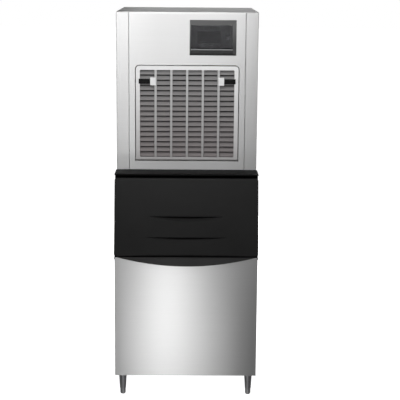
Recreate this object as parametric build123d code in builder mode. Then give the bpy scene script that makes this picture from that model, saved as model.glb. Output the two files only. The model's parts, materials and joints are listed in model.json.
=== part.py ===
# Granular ice machine: an air-cooled ice-making head on an insulated storage bin.
# Millimetres. X to the right, Y to the back, Z up. The origin is on the floor, in the
# middle of the footprint, between the front of the sill lip and the rear fittings.
import os
from math import atan2, cos, hypot, radians, sin
from build123d import *

os.makedirs("parts", exist_ok=True)

# Overall sizes
cabinet_width = 560
overall_height = 1510
head_height = 625
head_depth = 600
bin_depth = 793
leg_height = 86
lip_reach = 22
rear_reach = 15

# Sheet and fits
sheet = 1.2
seam = 0.3
running_gap = 0.1
slide_gap = 0.5

# Bin
sill_height = 573
shelf_depth = 107
hood_thickness = 5
hood_gap = 8
door_overhang = 3
door_thickness = 34
door_skin = 4
door_corner = 12
door_edge_radius = 8
gasket_width = 12
gasket_thickness = 4
frame_thickness = 11.7
frame_side = 53
frame_top = 30
sill_gap = 3
ledge_thickness = 6
wall_insulation = 50
floor_insulation = 54
liner_wall = 3
liner_corner = 30
floor_fall = 10
front_return = 12

# Door scoops: half width, height on the slope and distance of the top edge below the door's top
scoop_depth = 13
scoop_height = 20
upper_scoop_half = 148
upper_scoop_drop = 153
lower_scoop_half = 160
lower_scoop_drop = 235

# Door hinge
hinge_setback = 12
hinge_drop = 9
hinge_pin_radius = 3
hinge_knuckle_radius = 6.5
hinge_arm_width = 24
hinge_spread = 450
hinge_ear_width = 12

# Sill lip
lip_half_width = 274
lip_height = 37
lip_gap = 2

# Legs
leg_inset_x = 29
leg_inset_y = 30
leg_top_radius = 15.5
leg_bottom_radius = 12
foot_height = 24
foot_radius = 11
foot_stem_radius = 5
foot_neck = 10
collar_radius = 20
collar_thickness = 5

# Head shell
side_return = 49
panel_gap = 2
head_fold = 11
lid_skirt = 10
base_pan_flange = 20

# Filter grille
grille_half_width = 203
grille_bottom = 36
grille_top = 415
grille_depth = 17
grille_proud = 3
grille_corner = 14
grille_border = 16
grille_gap = 3.5
louvre_count = 17
louvre_thickness = 2
louvre_depth = 10
louvre_rise = 13
bar_count = 5
bar_width = 9
bar_setback = 1
louvre_setback = 4
grille_pin_radius = 2.5
surround_depth = 48
surround_wall = 1.5

# Latches
latch_height = 345
latch_length = 45
latch_tall = 19
latch_thick = 8
latch_travel = 9
latch_inset = 12
pad_length = 22
pad_tall = 31
pad_wall = 2
tongue_tall = 12
tongue_thick = 4

# Control window
bezel_left = 9
bezel_width = 184
bezel_bottom = 457
bezel_height = 138
bezel_proud = 12
bevel_top = 18
bevel_right = 14
bevel_left = 3
bevel_bottom = 19
cover_thickness = 3
cover_lip_tall = 11
cover_lip_proud = 5
plate_thickness = 3

# Machinery in the head
fan_radius = 140
fan_hub_radius = 36
fan_depth = 30
fan_blades = 5
compressor_radius = 80
compressor_height = 205
barrel_radius = 62
barrel_bore = 45
barrel_height = 300
auger_core = 20
flight_pitch = 100
flight_thickness = 4
gearbox_height = 130
chute_width = 84
chute_depth = 104
chute_wall = 2

# Planes of the cabinet, worked out from the sizes above
half_width = cabinet_width / 2
y_back = (bin_depth + lip_reach + rear_reach) / 2 - rear_reach
y_head = y_back - head_depth
y_bin = y_back - bin_depth
z_bin_top = overall_height - head_height
z_bin_bottom = leg_height
y_door_top = y_head - shelf_depth
z_door_top = z_bin_top - hood_thickness - hood_gap

# The door leans outwards: its own plane has its origin at the top outer edge,
# X along the edge, Y up the slope and Z out of the door.
door_rise = z_door_top - sill_height
door_run = y_door_top - y_bin
door_length = hypot(door_rise, door_run)
lean = atan2(door_run, door_rise)
door_plane = Plane(
    origin=(0, y_door_top, z_door_top), x_dir=(1, 0, 0), z_dir=(0, -cos(lean), sin(lean))
)
door_half = half_width + door_overhang
door_out = Axis((0, 0, 0), door_plane.z_dir)


def on_slope(up, out):
    """Y and Z of a point given up the slope from the door's top edge and out of its face."""
    return (
        y_door_top + up * sin(lean) - out * cos(lean),
        z_door_top + up * cos(lean) + out * sin(lean),
    )


def facing(y):
    """A plane across the machine at depth y that faces the front."""
    return Plane.XZ.offset(-y)


def box_between(low, high, mode=Mode.ADD):
    """A box given by two opposite corners."""
    centre = [(a + b) / 2 for a, b in zip(low, high)]
    size = [b - a for a, b in zip(low, high)]
    with Locations(tuple(centre)):
        Box(*size, mode=mode)


# Depths of the frame behind the door
gasket_back = -door_thickness - gasket_thickness
frame_face = gasket_back - seam
frame_back = frame_face - frame_thickness
ledge_top = -door_length - sill_gap
ledge_bottom = ledge_top - ledge_thickness
y_web = on_slope(0, frame_back)[0]
hinge_y, hinge_z = on_slope(-hinge_drop, -hinge_setback)

# The storage space, as the outline that the liner fills
y_store_front = y_bin + wall_insulation + liner_wall
y_store_back = y_back - sheet - wall_insulation
z_store_floor = z_bin_bottom + floor_insulation
store_half = door_half - frame_side
z_store_top = on_slope(-frame_top, frame_back)[1]
y_store_top = on_slope(-frame_top, frame_back)[0]
z_store_sill = z_store_top - (y_store_top - y_store_front) / (sin(lean) / cos(lean))

# The ice drop through the head's base and the bin's top
drop_x = 20
drop_y = y_head + 380
drop_half_x = chute_width / 2 + seam
drop_half_y = chute_depth / 2 + seam

drain_radius = 12.5
drain_neck_radius = 11.5
drain_bore = 9
drain_z = z_store_floor + drain_radius


# Bin: outer panels
with BuildPart() as bin_front_panel:
    with BuildSketch(Plane.XY.offset(z_bin_bottom)):
        with BuildLine():
            Polyline(
                (-half_width, y_bin + front_return),
                (-half_width, y_bin),
                (half_width, y_bin),
                (half_width, y_bin + front_return),
                (half_width - sheet, y_bin + front_return),
                (half_width - sheet, y_bin + sheet),
                (-half_width + sheet, y_bin + sheet),
                (-half_width + sheet, y_bin + front_return),
                close=True,
            )
        make_face()
    extrude(amount=sill_height - sill_gap - z_bin_bottom)
    box_between(
        (-half_width, y_bin + sheet, on_slope(ledge_bottom, frame_face)[1] - seam),
        (half_width, y_bin + front_return, sill_height),
        Mode.SUBTRACT,
    )
    fillet(
        bin_front_panel.edges().filter_by(Axis.Z).group_by(Axis.Y)[0],
        radius=sheet,
    )
bin_front_panel.part.label = "bin_front_panel"
export_step(bin_front_panel.part, "parts/bin_front_panel.step")

bin_outline = (
    (y_back - sheet, z_bin_bottom + sheet),
    (y_bin + sheet, z_bin_bottom + sheet),
    (y_bin + sheet, on_slope(ledge_bottom, frame_face)[1] - seam),
    on_slope(ledge_bottom, frame_back),
    (y_web, on_slope(0, frame_back)[1]),
    (y_web, z_bin_top - hood_thickness),
    (y_head, z_bin_top - hood_thickness),
    (y_head, z_bin_top - 2 * sheet),
    (y_back - sheet, z_bin_top - 2 * sheet),
)
side_outline = [(max(y, y_bin + front_return + seam), z) for y, z in bin_outline]

for side_name, side_x in (("left", -half_width), ("right", half_width - sheet)):
    with BuildPart() as bin_side_panel:
        with BuildSketch(Plane.YZ.offset(side_x)):
            with BuildLine():
                Polyline(*side_outline, close=True)
            make_face()
        extrude(amount=sheet)
    bin_side_panel.part.label = f"bin_{side_name}_side_panel"
    export_step(bin_side_panel.part, f"parts/bin_{side_name}_side_panel.step")

with BuildPart() as bin_rear_panel:
    box_between(
        (-half_width, y_back - sheet, z_bin_bottom + sheet),
        (half_width, y_back, z_bin_top - 2 * sheet),
    )
    with Locations(facing(y_back - sheet).shift_origin((0, y_back - sheet, drain_z))):
        Cylinder(drain_neck_radius, 4 * sheet, mode=Mode.SUBTRACT)
bin_rear_panel.part.label = "bin_rear_panel"
export_step(bin_rear_panel.part, "parts/bin_rear_panel.step")

with BuildPart() as bin_base_panel:
    box_between(
        (-half_width + sheet, y_bin + sheet, z_bin_bottom),
        (half_width - sheet, y_back, z_bin_bottom + sheet),
    )
    box_between(
        (-half_width, y_bin + front_return + seam, z_bin_bottom),
        (half_width, y_back, z_bin_bottom + sheet),
    )
bin_base_panel.part.label = "bin_base_panel"
export_step(bin_base_panel.part, "parts/bin_base_panel.step")

with BuildPart() as bin_top_plate:
    box_between(
        (-half_width, y_head + seam, z_bin_top - 2 * sheet),
        (half_width, y_back, z_bin_top),
    )
    box_between(
        (drop_x - drop_half_x, drop_y - drop_half_y, z_bin_top - 10),
        (drop_x + drop_half_x, drop_y + drop_half_y, z_bin_top + 10),
        Mode.SUBTRACT,
    )
bin_top_plate.part.label = "bin_top_plate"
export_step(bin_top_plate.part, "parts/bin_top_plate.step")


# Bin: liner and insulation
def store_outline(grow):
    """The storage space in side view, grown outwards by a wall except at its open front."""
    return (
        (y_store_back - liner_wall + grow, z_store_floor - grow),
        (y_store_front - grow, z_store_floor + floor_fall - grow),
        (y_store_front - grow, z_store_sill - grow / (sin(lean) / cos(lean))),
        (y_store_top + grow * sin(lean) / cos(lean), z_store_top + grow),
        (y_store_back - liner_wall + grow, z_store_top + grow),
    )


with BuildPart() as store_space:
    with BuildSketch(Plane.YZ):
        with BuildLine():
            Polyline(*store_outline(0), close=True)
        make_face()
    extrude(amount=store_half - liner_wall, both=True)
    fillet(store_space.edges().filter_by(Axis.Z), radius=liner_corner)

with BuildPart() as liner_block:
    with BuildSketch(Plane.YZ):
        with BuildLine():
            Polyline(*store_outline(liner_wall), close=True)
        make_face()
    extrude(amount=store_half, both=True)

drain_plane = facing(y_back).shift_origin((0, y_back, drain_z))

with BuildPart() as bin_liner:
    add(liner_block.part)
    add(store_space.part, mode=Mode.SUBTRACT)
    box_between(
        (drop_x - drop_half_x, drop_y - drop_half_y, z_store_top - 10),
        (drop_x + drop_half_x, drop_y + drop_half_y, z_store_top + 10),
        Mode.SUBTRACT,
    )
    with Locations(drain_plane):
        Cylinder(drain_neck_radius, 300, mode=Mode.SUBTRACT)
bin_liner.part.label = "bin_liner"
export_step(bin_liner.part, "parts/bin_liner.step")

with BuildPart() as bin_insulation:
    with BuildSketch(Plane.YZ):
        with BuildLine():
            Polyline(*bin_outline, close=True)
        make_face()
    extrude(amount=half_width - sheet, both=True)
    add(liner_block.part, mode=Mode.SUBTRACT)
    box_between(
        (drop_x - drop_half_x, drop_y - drop_half_y, z_store_top - 10),
        (drop_x + drop_half_x, drop_y + drop_half_y, z_bin_top + 10),
        Mode.SUBTRACT,
    )
    with Locations(drain_plane):
        Cylinder(drain_neck_radius, 300, mode=Mode.SUBTRACT)
    # joints between the boards: two side boards, then front, floor, back and top boards
    for joint_x in (-store_half - seam, store_half):
        box_between(
            (joint_x, y_bin, z_bin_bottom),
            (joint_x + seam, y_back, z_bin_top),
            Mode.SUBTRACT,
        )
    for joint_y in (y_store_front - liner_wall - seam, y_store_back):
        box_between(
            (-store_half, joint_y, z_bin_bottom),
            (store_half, joint_y + seam, z_bin_top),
            Mode.SUBTRACT,
        )
bin_insulation.part.label = "bin_insulation"
export_step(bin_insulation.part, "parts/bin_insulation.step")

with BuildPart() as bin_drain:
    drain_back = y_back + rear_reach
    drain_front = y_store_back - 3 * liner_wall
    with BuildSketch(facing(drain_back)):
        with Locations((0, drain_z)):
            Circle(drain_radius)
    extrude(amount=rear_reach)
    with BuildSketch(facing(drain_back)):
        with Locations((0, drain_z)):
            Circle(drain_neck_radius)
    extrude(amount=drain_back - drain_front)
    with BuildSketch(facing(drain_back)):
        with Locations((0, drain_z)):
            Circle(drain_bore)
    extrude(amount=drain_back - drain_front, mode=Mode.SUBTRACT)
bin_drain.part.label = "bin_drain"
export_step(bin_drain.part, "parts/bin_drain.step")


# Bin: the moulded frame round the door opening, with its hood and sill ledge
with BuildPart() as door_frame:
    with BuildSketch(door_plane.offset(frame_back)):
        with BuildLine():
            Polyline(
                (-door_half, ledge_bottom),
                (door_half, ledge_bottom),
                (door_half, 0),
                (-door_half, 0),
                close=True,
            )
        make_face()
        with BuildLine():
            Polyline(
                (-store_half, -frame_top),
                (store_half, -frame_top),
                (store_half, -door_length + (z_store_sill - sill_height) / cos(lean)),
                (-store_half, -door_length + (z_store_sill - sill_height) / cos(lean)),
                close=True,
            )
        make_face(mode=Mode.SUBTRACT)
    extrude(amount=frame_thickness)
    with BuildSketch(door_plane.offset(frame_back)):
        with Locations((0, (ledge_top + ledge_bottom) / 2)):
            Rectangle(2 * door_half, ledge_thickness)
    extrude(amount=-frame_back)
    box_between(
        (-door_half, y_door_top, z_bin_top - hood_thickness),
        (door_half, y_head, z_bin_top),
    )
    with BuildSketch(Plane.YZ):
        with BuildLine():
            Polyline(
                on_slope(0, frame_back),
                on_slope(0, frame_back + frame_thickness),
                (y_web - 2 * frame_thickness / 3, z_bin_top - hood_thickness),
                (y_web, z_bin_top - hood_thickness),
                close=True,
            )
        make_face()
    extrude(amount=door_half, both=True)
    box_between(
        (-2 * door_half, y_bin - 2 * lip_reach, z_bin_bottom),
        (2 * door_half, y_bin + sheet, sill_height),
        Mode.SUBTRACT,
    )
    fillet(
        door_frame.edges().filter_by(Axis.X).group_by(Axis.Z)[-1].sort_by(Axis.Y)[0],
        radius=hood_thickness / 2,
    )
    for hinge_x in (-hinge_spread / 2, hinge_spread / 2):
        with BuildSketch(Plane.YZ.offset(hinge_x)):
            with BuildLine():
                Polyline(
                    (hinge_y, hinge_z - hinge_knuckle_radius + 2),
                    (hinge_y, hinge_z + hinge_knuckle_radius - 2),
                    (on_slope(0, frame_face)[0] + 2, hinge_z + hinge_knuckle_radius - 2),
                    (on_slope(0, frame_face)[0] + 2, hinge_z - hinge_knuckle_radius + 2),
                    close=True,
                )
            make_face()
            with Locations((hinge_y, hinge_z)):
                Circle(hinge_knuckle_radius)
                Circle(hinge_pin_radius, mode=Mode.SUBTRACT)
        extrude(amount=hinge_arm_width / 2, both=True)
door_frame.part.label = "door_frame"
export_step(door_frame.part, "parts/door_frame.step")

with BuildPart() as door_hinge_pins:
    for hinge_x in (-hinge_spread / 2, hinge_spread / 2):
        with BuildSketch(Plane.YZ.offset(hinge_x)):
            with Locations((hinge_y, hinge_z)):
                Circle(hinge_pin_radius)
        extrude(amount=hinge_arm_width / 2 + slide_gap + hinge_ear_width, both=True)
door_hinge_pins.part.label = "door_hinge_pins"
export_step(door_hinge_pins.part, "parts/door_hinge_pins.step")

# Sill lip: the front slice of a wide cone that fades into the steel below it
with BuildPart() as sill_lip:
    lip_radius = (lip_half_width**2 + lip_reach**2) / (2 * lip_reach)
    lip_top = sill_height - lip_gap
    with Locations((0, y_bin - lip_reach + lip_radius, lip_top - lip_height / 2)):
        Cone(lip_radius - lip_reach, lip_radius, lip_height)
    with Locations((0, y_bin + lip_radius, lip_top - lip_height / 2)):
        Box(3 * lip_radius, 2 * lip_radius, 2 * lip_height, mode=Mode.SUBTRACT)
sill_lip.part.label = "sill_lip"
export_step(sill_lip.part, "parts/sill_lip.step")


# Door: a moulded outer shell with two finger scoops, foam and an inner panel
def cut_scoops(wall):
    """Cut both scoops, each a slice of an upside-down cone, grown by a wall."""
    for half, drop in ((upper_scoop_half, upper_scoop_drop), (lower_scoop_half, lower_scoop_drop)):
        radius = (half**2 + scoop_depth**2) / (2 * scoop_depth)
        height = scoop_height * 1.5
        taper = scoop_depth / scoop_height
        centre = Location((0, -drop - height / 2, radius - scoop_depth), (-90, 0, 0))
        with Locations(door_plane.location * centre):
            Cone(
                radius + wall - (height + wall) * taper,
                radius + wall + wall * taper,
                height + 2 * wall,
                mode=Mode.SUBTRACT,
            )


with BuildPart() as door_core:
    with BuildSketch(door_plane.offset(-door_thickness)):
        with Locations((0, -door_length / 2)):
            RectangleRounded(
                2 * (door_half - door_skin),
                door_length - 2 * door_skin,
                door_corner - door_skin,
            )
    extrude(amount=door_thickness - door_skin)
    chamfer(door_core.faces().sort_by(door_out)[-1].edges(), length=door_edge_radius - door_skin)
    cut_scoops(door_skin)


def cut_hinge_notches(clear):
    """Cut the slots that the frame's hinge arms swing through, at the door's inner top edge."""
    for hinge_x in (-hinge_spread / 2, hinge_spread / 2):
        notch = Location(
            (
                hinge_x,
                -hinge_drop / 2 - hinge_knuckle_radius / 2 + 0.5,
                -hinge_setback - door_thickness / 2 + hinge_knuckle_radius + 1,
            )
        )
        with Locations(door_plane.location * notch):
            Box(
                hinge_arm_width + 2 * clear,
                hinge_drop + hinge_knuckle_radius + 3,
                door_thickness,
                mode=Mode.SUBTRACT,
            )


def add_hinge_blocks(mode=Mode.ADD):
    """The solid blocks in the door's top edge that the hinge pins run in."""
    for hinge_x in (-hinge_spread / 2, hinge_spread / 2):
        block = Location((hinge_x, -hinge_drop - hinge_knuckle_radius / 2, -door_thickness / 2))
        with Locations(door_plane.location * block):
            Box(
                hinge_arm_width + 2 * (slide_gap + hinge_ear_width),
                hinge_drop + 3 * hinge_knuckle_radius - 2 * door_skin,
                door_thickness - 2 * door_skin,
                mode=mode,
            )


def cut_hinge_bore(radius):
    """Cut the bore that the hinge pins run in."""
    for hinge_x in (-hinge_spread / 2, hinge_spread / 2):
        with Locations(Location((hinge_x, hinge_y, hinge_z), (0, 90, 0))):
            Cylinder(
                radius,
                hinge_arm_width + 2 * (slide_gap + hinge_ear_width),
                mode=Mode.SUBTRACT,
            )


with BuildPart() as door_outer_panel:
    with BuildSketch(door_plane.offset(-door_thickness)):
        with Locations((0, -door_length / 2)):
            RectangleRounded(2 * door_half, door_length, door_corner)
    extrude(amount=door_thickness)
    fillet(door_outer_panel.faces().sort_by(door_out)[-1].edges(), radius=door_edge_radius)
    cut_scoops(0)
    add(door_core.part, mode=Mode.SUBTRACT)
    add_hinge_blocks()
    cut_hinge_notches(slide_gap)
    cut_hinge_bore(hinge_pin_radius + running_gap)
door_outer_panel.part.label = "door_outer_panel"
export_step(door_outer_panel.part, "parts/door_outer_panel.step")

with BuildPart() as door_insulation:
    add(door_core.part)
    with BuildSketch(door_plane.offset(-door_thickness)):
        Rectangle(3 * door_length, 3 * door_length)
    extrude(amount=door_skin, mode=Mode.SUBTRACT)
    add_hinge_blocks(Mode.SUBTRACT)
    cut_hinge_notches(slide_gap)
door_insulation.part.label = "door_insulation"
export_step(door_insulation.part, "parts/door_insulation.step")

with BuildPart() as door_inner_panel:
    with BuildSketch(door_plane.offset(-door_thickness)):
        with Locations((0, -door_length / 2)):
            RectangleRounded(
                2 * (door_half - door_skin),
                door_length - 2 * door_skin,
                door_corner - door_skin,
            )
    extrude(amount=door_skin)
    add_hinge_blocks(Mode.SUBTRACT)
    cut_hinge_notches(slide_gap)
    with BuildSketch(door_plane.offset(-door_thickness)):
        with Locations((0, -door_length / 2 - frame_top / 8)):
            RectangleRounded(
                2 * (store_half - gasket_width),
                door_length - 2 * frame_top - 2 * gasket_width,
                door_corner,
            )
    extrude(amount=-gasket_thickness, taper=45)
door_inner_panel.part.label = "door_inner_panel"
export_step(door_inner_panel.part, "parts/door_inner_panel.step")

with BuildPart() as door_gasket:
    gasket_half = door_half - door_skin - 18
    gasket_tall = door_length - 2 * (hinge_drop + 2 * hinge_knuckle_radius)
    with BuildSketch(door_plane.offset(-door_thickness)):
        with Locations((0, -door_length / 2 - hinge_drop / 2 - 2)):
            RectangleRounded(2 * gasket_half, gasket_tall, door_corner)
            RectangleRounded(
                2 * (gasket_half - gasket_width),
                gasket_tall - 2 * gasket_width,
                door_corner / 2,
                mode=Mode.SUBTRACT,
            )
    extrude(amount=-gasket_thickness)
door_gasket.part.label = "door_gasket"
export_step(door_gasket.part, "parts/door_gasket.step")

# Bin: legs with screwed feet, and the full-bin sensor
leg_places = {
    "front_left": (-half_width + leg_inset_x, y_bin + leg_inset_y),
    "front_right": (half_width - leg_inset_x, y_bin + leg_inset_y),
    "rear_left": (-half_width + leg_inset_x, y_back - leg_inset_y),
    "rear_right": (half_width - leg_inset_x, y_back - leg_inset_y),
}

with BuildPart() as legs:
    leg_tall = z_bin_bottom - collar_thickness - foot_height
    with Locations(*[(x, y, foot_height + leg_tall / 2) for x, y in leg_places.values()]):
        Cone(leg_bottom_radius, leg_top_radius, leg_tall)
    with BuildSketch(Plane.XY.offset(z_bin_bottom - collar_thickness)):
        with Locations(*leg_places.values()):
            Circle(collar_radius)
    extrude(amount=collar_thickness)
    with Locations(*[(x, y, foot_height + leg_tall / 2) for x, y in leg_places.values()]):
        Cylinder(foot_stem_radius + running_gap, leg_tall, mode=Mode.SUBTRACT)
legs.part.label = "legs"
export_step(legs.part, "parts/legs.step")

for place_name, (leg_x, leg_y) in leg_places.items():
    with BuildPart() as levelling_foot:
        with BuildSketch(Plane.XZ.offset(-leg_y)):
            with BuildLine():
                Polyline(
                    (leg_x, 0),
                    (leg_x + foot_radius - 3, 0),
                    (leg_x + foot_radius, 4),
                    (leg_x + foot_radius, foot_height - seam),
                    (leg_x + foot_stem_radius, foot_height - seam),
                    (leg_x + foot_stem_radius, foot_height + leg_tall - foot_neck),
                    (leg_x, foot_height + leg_tall - foot_neck),
                    close=True,
                )
            make_face()
        revolve(axis=Axis((leg_x, leg_y, 0), (0, 0, 1)))
    levelling_foot.part.label = f"{place_name}_foot"
    export_step(levelling_foot.part, f"parts/{place_name}_foot.step")

with BuildPart() as bin_level_sensor:
    sensor_x = -store_half / 3
    sensor_y = drop_y - 60
    with Locations((sensor_x, sensor_y, z_store_top - 5)):
        Cylinder(18, 10)
    with Locations((sensor_x, sensor_y, z_store_top - 30)):
        Cylinder(4, 40)
bin_level_sensor.part.label = "bin_level_sensor"
export_step(bin_level_sensor.part, "parts/bin_level_sensor.step")


# Head: shell
z_shell = z_bin_top + sheet
z_lid = overall_height - lid_skirt

with BuildPart() as head_base_pan:
    box_between(
        (-half_width, y_head, z_bin_top),
        (half_width, y_back, z_shell),
    )
    box_between(
        (-half_width + 2 * sheet, y_back - 3 * sheet, z_shell),
        (half_width - 2 * sheet, y_back - 2 * sheet, z_shell + base_pan_flange),
    )
    for flange_x in (-half_width + 2 * sheet, half_width - 3 * sheet):
        box_between(
            (flange_x, y_head + 3 * head_fold, z_shell),
            (flange_x + sheet, y_back - 2 * sheet, z_shell + base_pan_flange),
        )
    box_between(
        (drop_x - drop_half_x, drop_y - drop_half_y, z_bin_top - 1),
        (drop_x + drop_half_x, drop_y + drop_half_y, z_shell + 1),
        Mode.SUBTRACT,
    )
head_base_pan.part.label = "head_base_pan"
export_step(head_base_pan.part, "parts/head_base_pan.step")

for side_name, side in (("left", -1), ("right", 1)):
    with BuildPart() as head_side_panel:
        with BuildSketch(Plane.XY.offset(z_shell)):
            with BuildLine():
                Polyline(
                    (side * (half_width - side_return), y_head),
                    (side * half_width, y_head),
                    (side * half_width, y_back - sheet),
                    (side * (half_width - sheet), y_back - sheet),
                    (side * (half_width - sheet), y_head + sheet),
                    (side * (half_width - side_return + sheet), y_head + sheet),
                    (side * (half_width - side_return + sheet), y_head + head_fold),
                    (side * (half_width - side_return), y_head + head_fold),
                    close=True,
                )
            make_face()
        extrude(amount=overall_height - sheet - seam - z_shell)
        outer_corner = head_side_panel.edges().filter_by(Axis.Z).group_by(Axis.Y)[0]
        fillet(outer_corner.sort_by(Axis.X)[0 if side < 0 else -1], radius=2 * sheet)
    head_side_panel.part.label = f"head_{side_name}_side_panel"
    export_step(head_side_panel.part, f"parts/head_{side_name}_side_panel.step")

# The front panel's openings follow the grille and the control window
front_half = half_width - side_return - panel_gap
z_grille_bottom = z_bin_top + grille_bottom
z_grille_top = z_bin_top + grille_top
z_bezel = z_bin_top + bezel_bottom
opening_half = grille_half_width + grille_gap
bezel_inset = 4

with BuildPart() as head_front_panel:
    box_between(
        (-front_half, y_head, z_shell + seam),
        (front_half, y_head + sheet, z_lid - seam),
    )
    for fold_x in (-front_half, front_half - sheet):
        box_between(
            (fold_x, y_head, z_shell + seam),
            (fold_x + sheet, y_head + head_fold, z_lid - seam),
        )
    with BuildSketch(facing(y_head)) as front_openings:
        with BuildLine():
            Polyline(
                (-opening_half, z_grille_bottom - slide_gap),
                (opening_half, z_grille_bottom - slide_gap),
                (opening_half, z_grille_top + grille_gap),
                (-opening_half, z_grille_top + grille_gap),
                close=True,
            )
        make_face()
        fillet(
            front_openings.vertices().group_by(Axis.Y)[-1],
            radius=grille_corner + grille_gap,
        )
        with Locations((bezel_left + bezel_width / 2, z_bezel + bezel_height / 2)):
            Rectangle(bezel_width - 2 * bezel_inset, bezel_height - 2 * bezel_inset)
    extrude(amount=-2 * sheet, mode=Mode.SUBTRACT)
head_front_panel.part.label = "head_front_panel"
export_step(head_front_panel.part, "parts/head_front_panel.step")

# Rear panel: exhaust slots, and holes for the water inlet and the power inlet
vent_columns = 3
vent_rows = 9
inlet_x = half_width - 80
inlet_z = z_bin_top + 70
inlet_radius = 13.2
inlet_neck_radius = 12
inlet_bore = 8
socket_x = -half_width + 80
socket_z = inlet_z
socket_size = (27, 20)
socket_flange = (50, 30)
with BuildPart() as head_rear_panel:
    box_between(
        (-half_width, y_back - sheet, z_shell),
        (half_width, y_back, z_lid - seam),
    )
    with BuildSketch(facing(y_back)):
        with Locations((0, z_bin_top + 2 * head_height / 3)):
            with GridLocations(150, 22, vent_columns, vent_rows):
                Rectangle(120, 9)
        with Locations((inlet_x, inlet_z)):
            Circle(inlet_neck_radius)
        with Locations((socket_x, socket_z)):
            Rectangle(*socket_size)
    extrude(amount=2 * sheet, both=True, mode=Mode.SUBTRACT)
head_rear_panel.part.label = "head_rear_panel"
export_step(head_rear_panel.part, "parts/head_rear_panel.step")

with BuildPart() as head_top_panel:
    box_between(
        (-half_width, y_head, overall_height - sheet),
        (half_width, y_back, overall_height),
    )
    box_between(
        (-front_half, y_head, z_lid),
        (front_half, y_head + sheet, overall_height),
    )
    box_between(
        (-half_width, y_back - sheet, z_lid),
        (half_width, y_back, overall_height),
    )
    fillet(
        head_top_panel.edges().filter_by(Axis.X).group_by(Axis.Z)[-1].sort_by(Axis.Y)[0],
        radius=sheet / 2,
    )
head_top_panel.part.label = "head_top_panel"
export_step(head_top_panel.part, "parts/head_top_panel.step")

# Filter surround: the duct behind the front panel that carries the grille's pivots
y_surround = y_head + sheet
y_pivot = y_head + 6
z_pivot = z_grille_bottom + (y_pivot - y_head + grille_proud)
with BuildPart() as filter_surround:
    with BuildSketch(facing(y_surround)):
        with Locations((0, (z_grille_bottom + z_grille_top) / 2)):
            Rectangle(
                2 * (opening_half + surround_wall),
                z_grille_top - z_grille_bottom + 2 * (grille_gap + surround_wall),
            )
            Rectangle(
                2 * opening_half,
                z_grille_top - z_grille_bottom + 2 * grille_gap,
                mode=Mode.SUBTRACT,
            )
    extrude(amount=-surround_depth)
    with Locations(Location((0, y_pivot, z_pivot), (0, 90, 0))):
        Cylinder(grille_pin_radius, 4 * opening_half, mode=Mode.SUBTRACT)
filter_surround.part.label = "filter_surround"
export_step(filter_surround.part, "parts/filter_surround.step")

pin_inner = grille_half_width - 8
with BuildPart() as grille_hinge_pins:
    for pin_low in (-opening_half - surround_wall, pin_inner):
        with BuildSketch(Plane.YZ.offset(pin_low)):
            with Locations((y_pivot, z_pivot)):
                Circle(grille_pin_radius)
        extrude(amount=opening_half + surround_wall - pin_inner)
grille_hinge_pins.part.label = "grille_hinge_pins"
export_step(grille_hinge_pins.part, "parts/grille_hinge_pins.step")

# Filter grille: a rounded frame, sloping louvres, upright bars and the two latch keepers
y_grille = y_head - grille_proud
z_latch = z_bin_top + latch_height + latch_tall / 2
louvre_half = grille_half_width - grille_border
bar_pitch = 2 * louvre_half / (bar_count + 1)
latch_outer = grille_half_width - latch_inset
louvre_field = z_grille_top - z_grille_bottom - grille_border - grille_border
louvre_pitch = louvre_field / louvre_count
keeper_inner = latch_outer - latch_length - pad_length
keeper_outer = latch_outer - latch_length
channel_back = y_grille + latch_thick - 3

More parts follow.
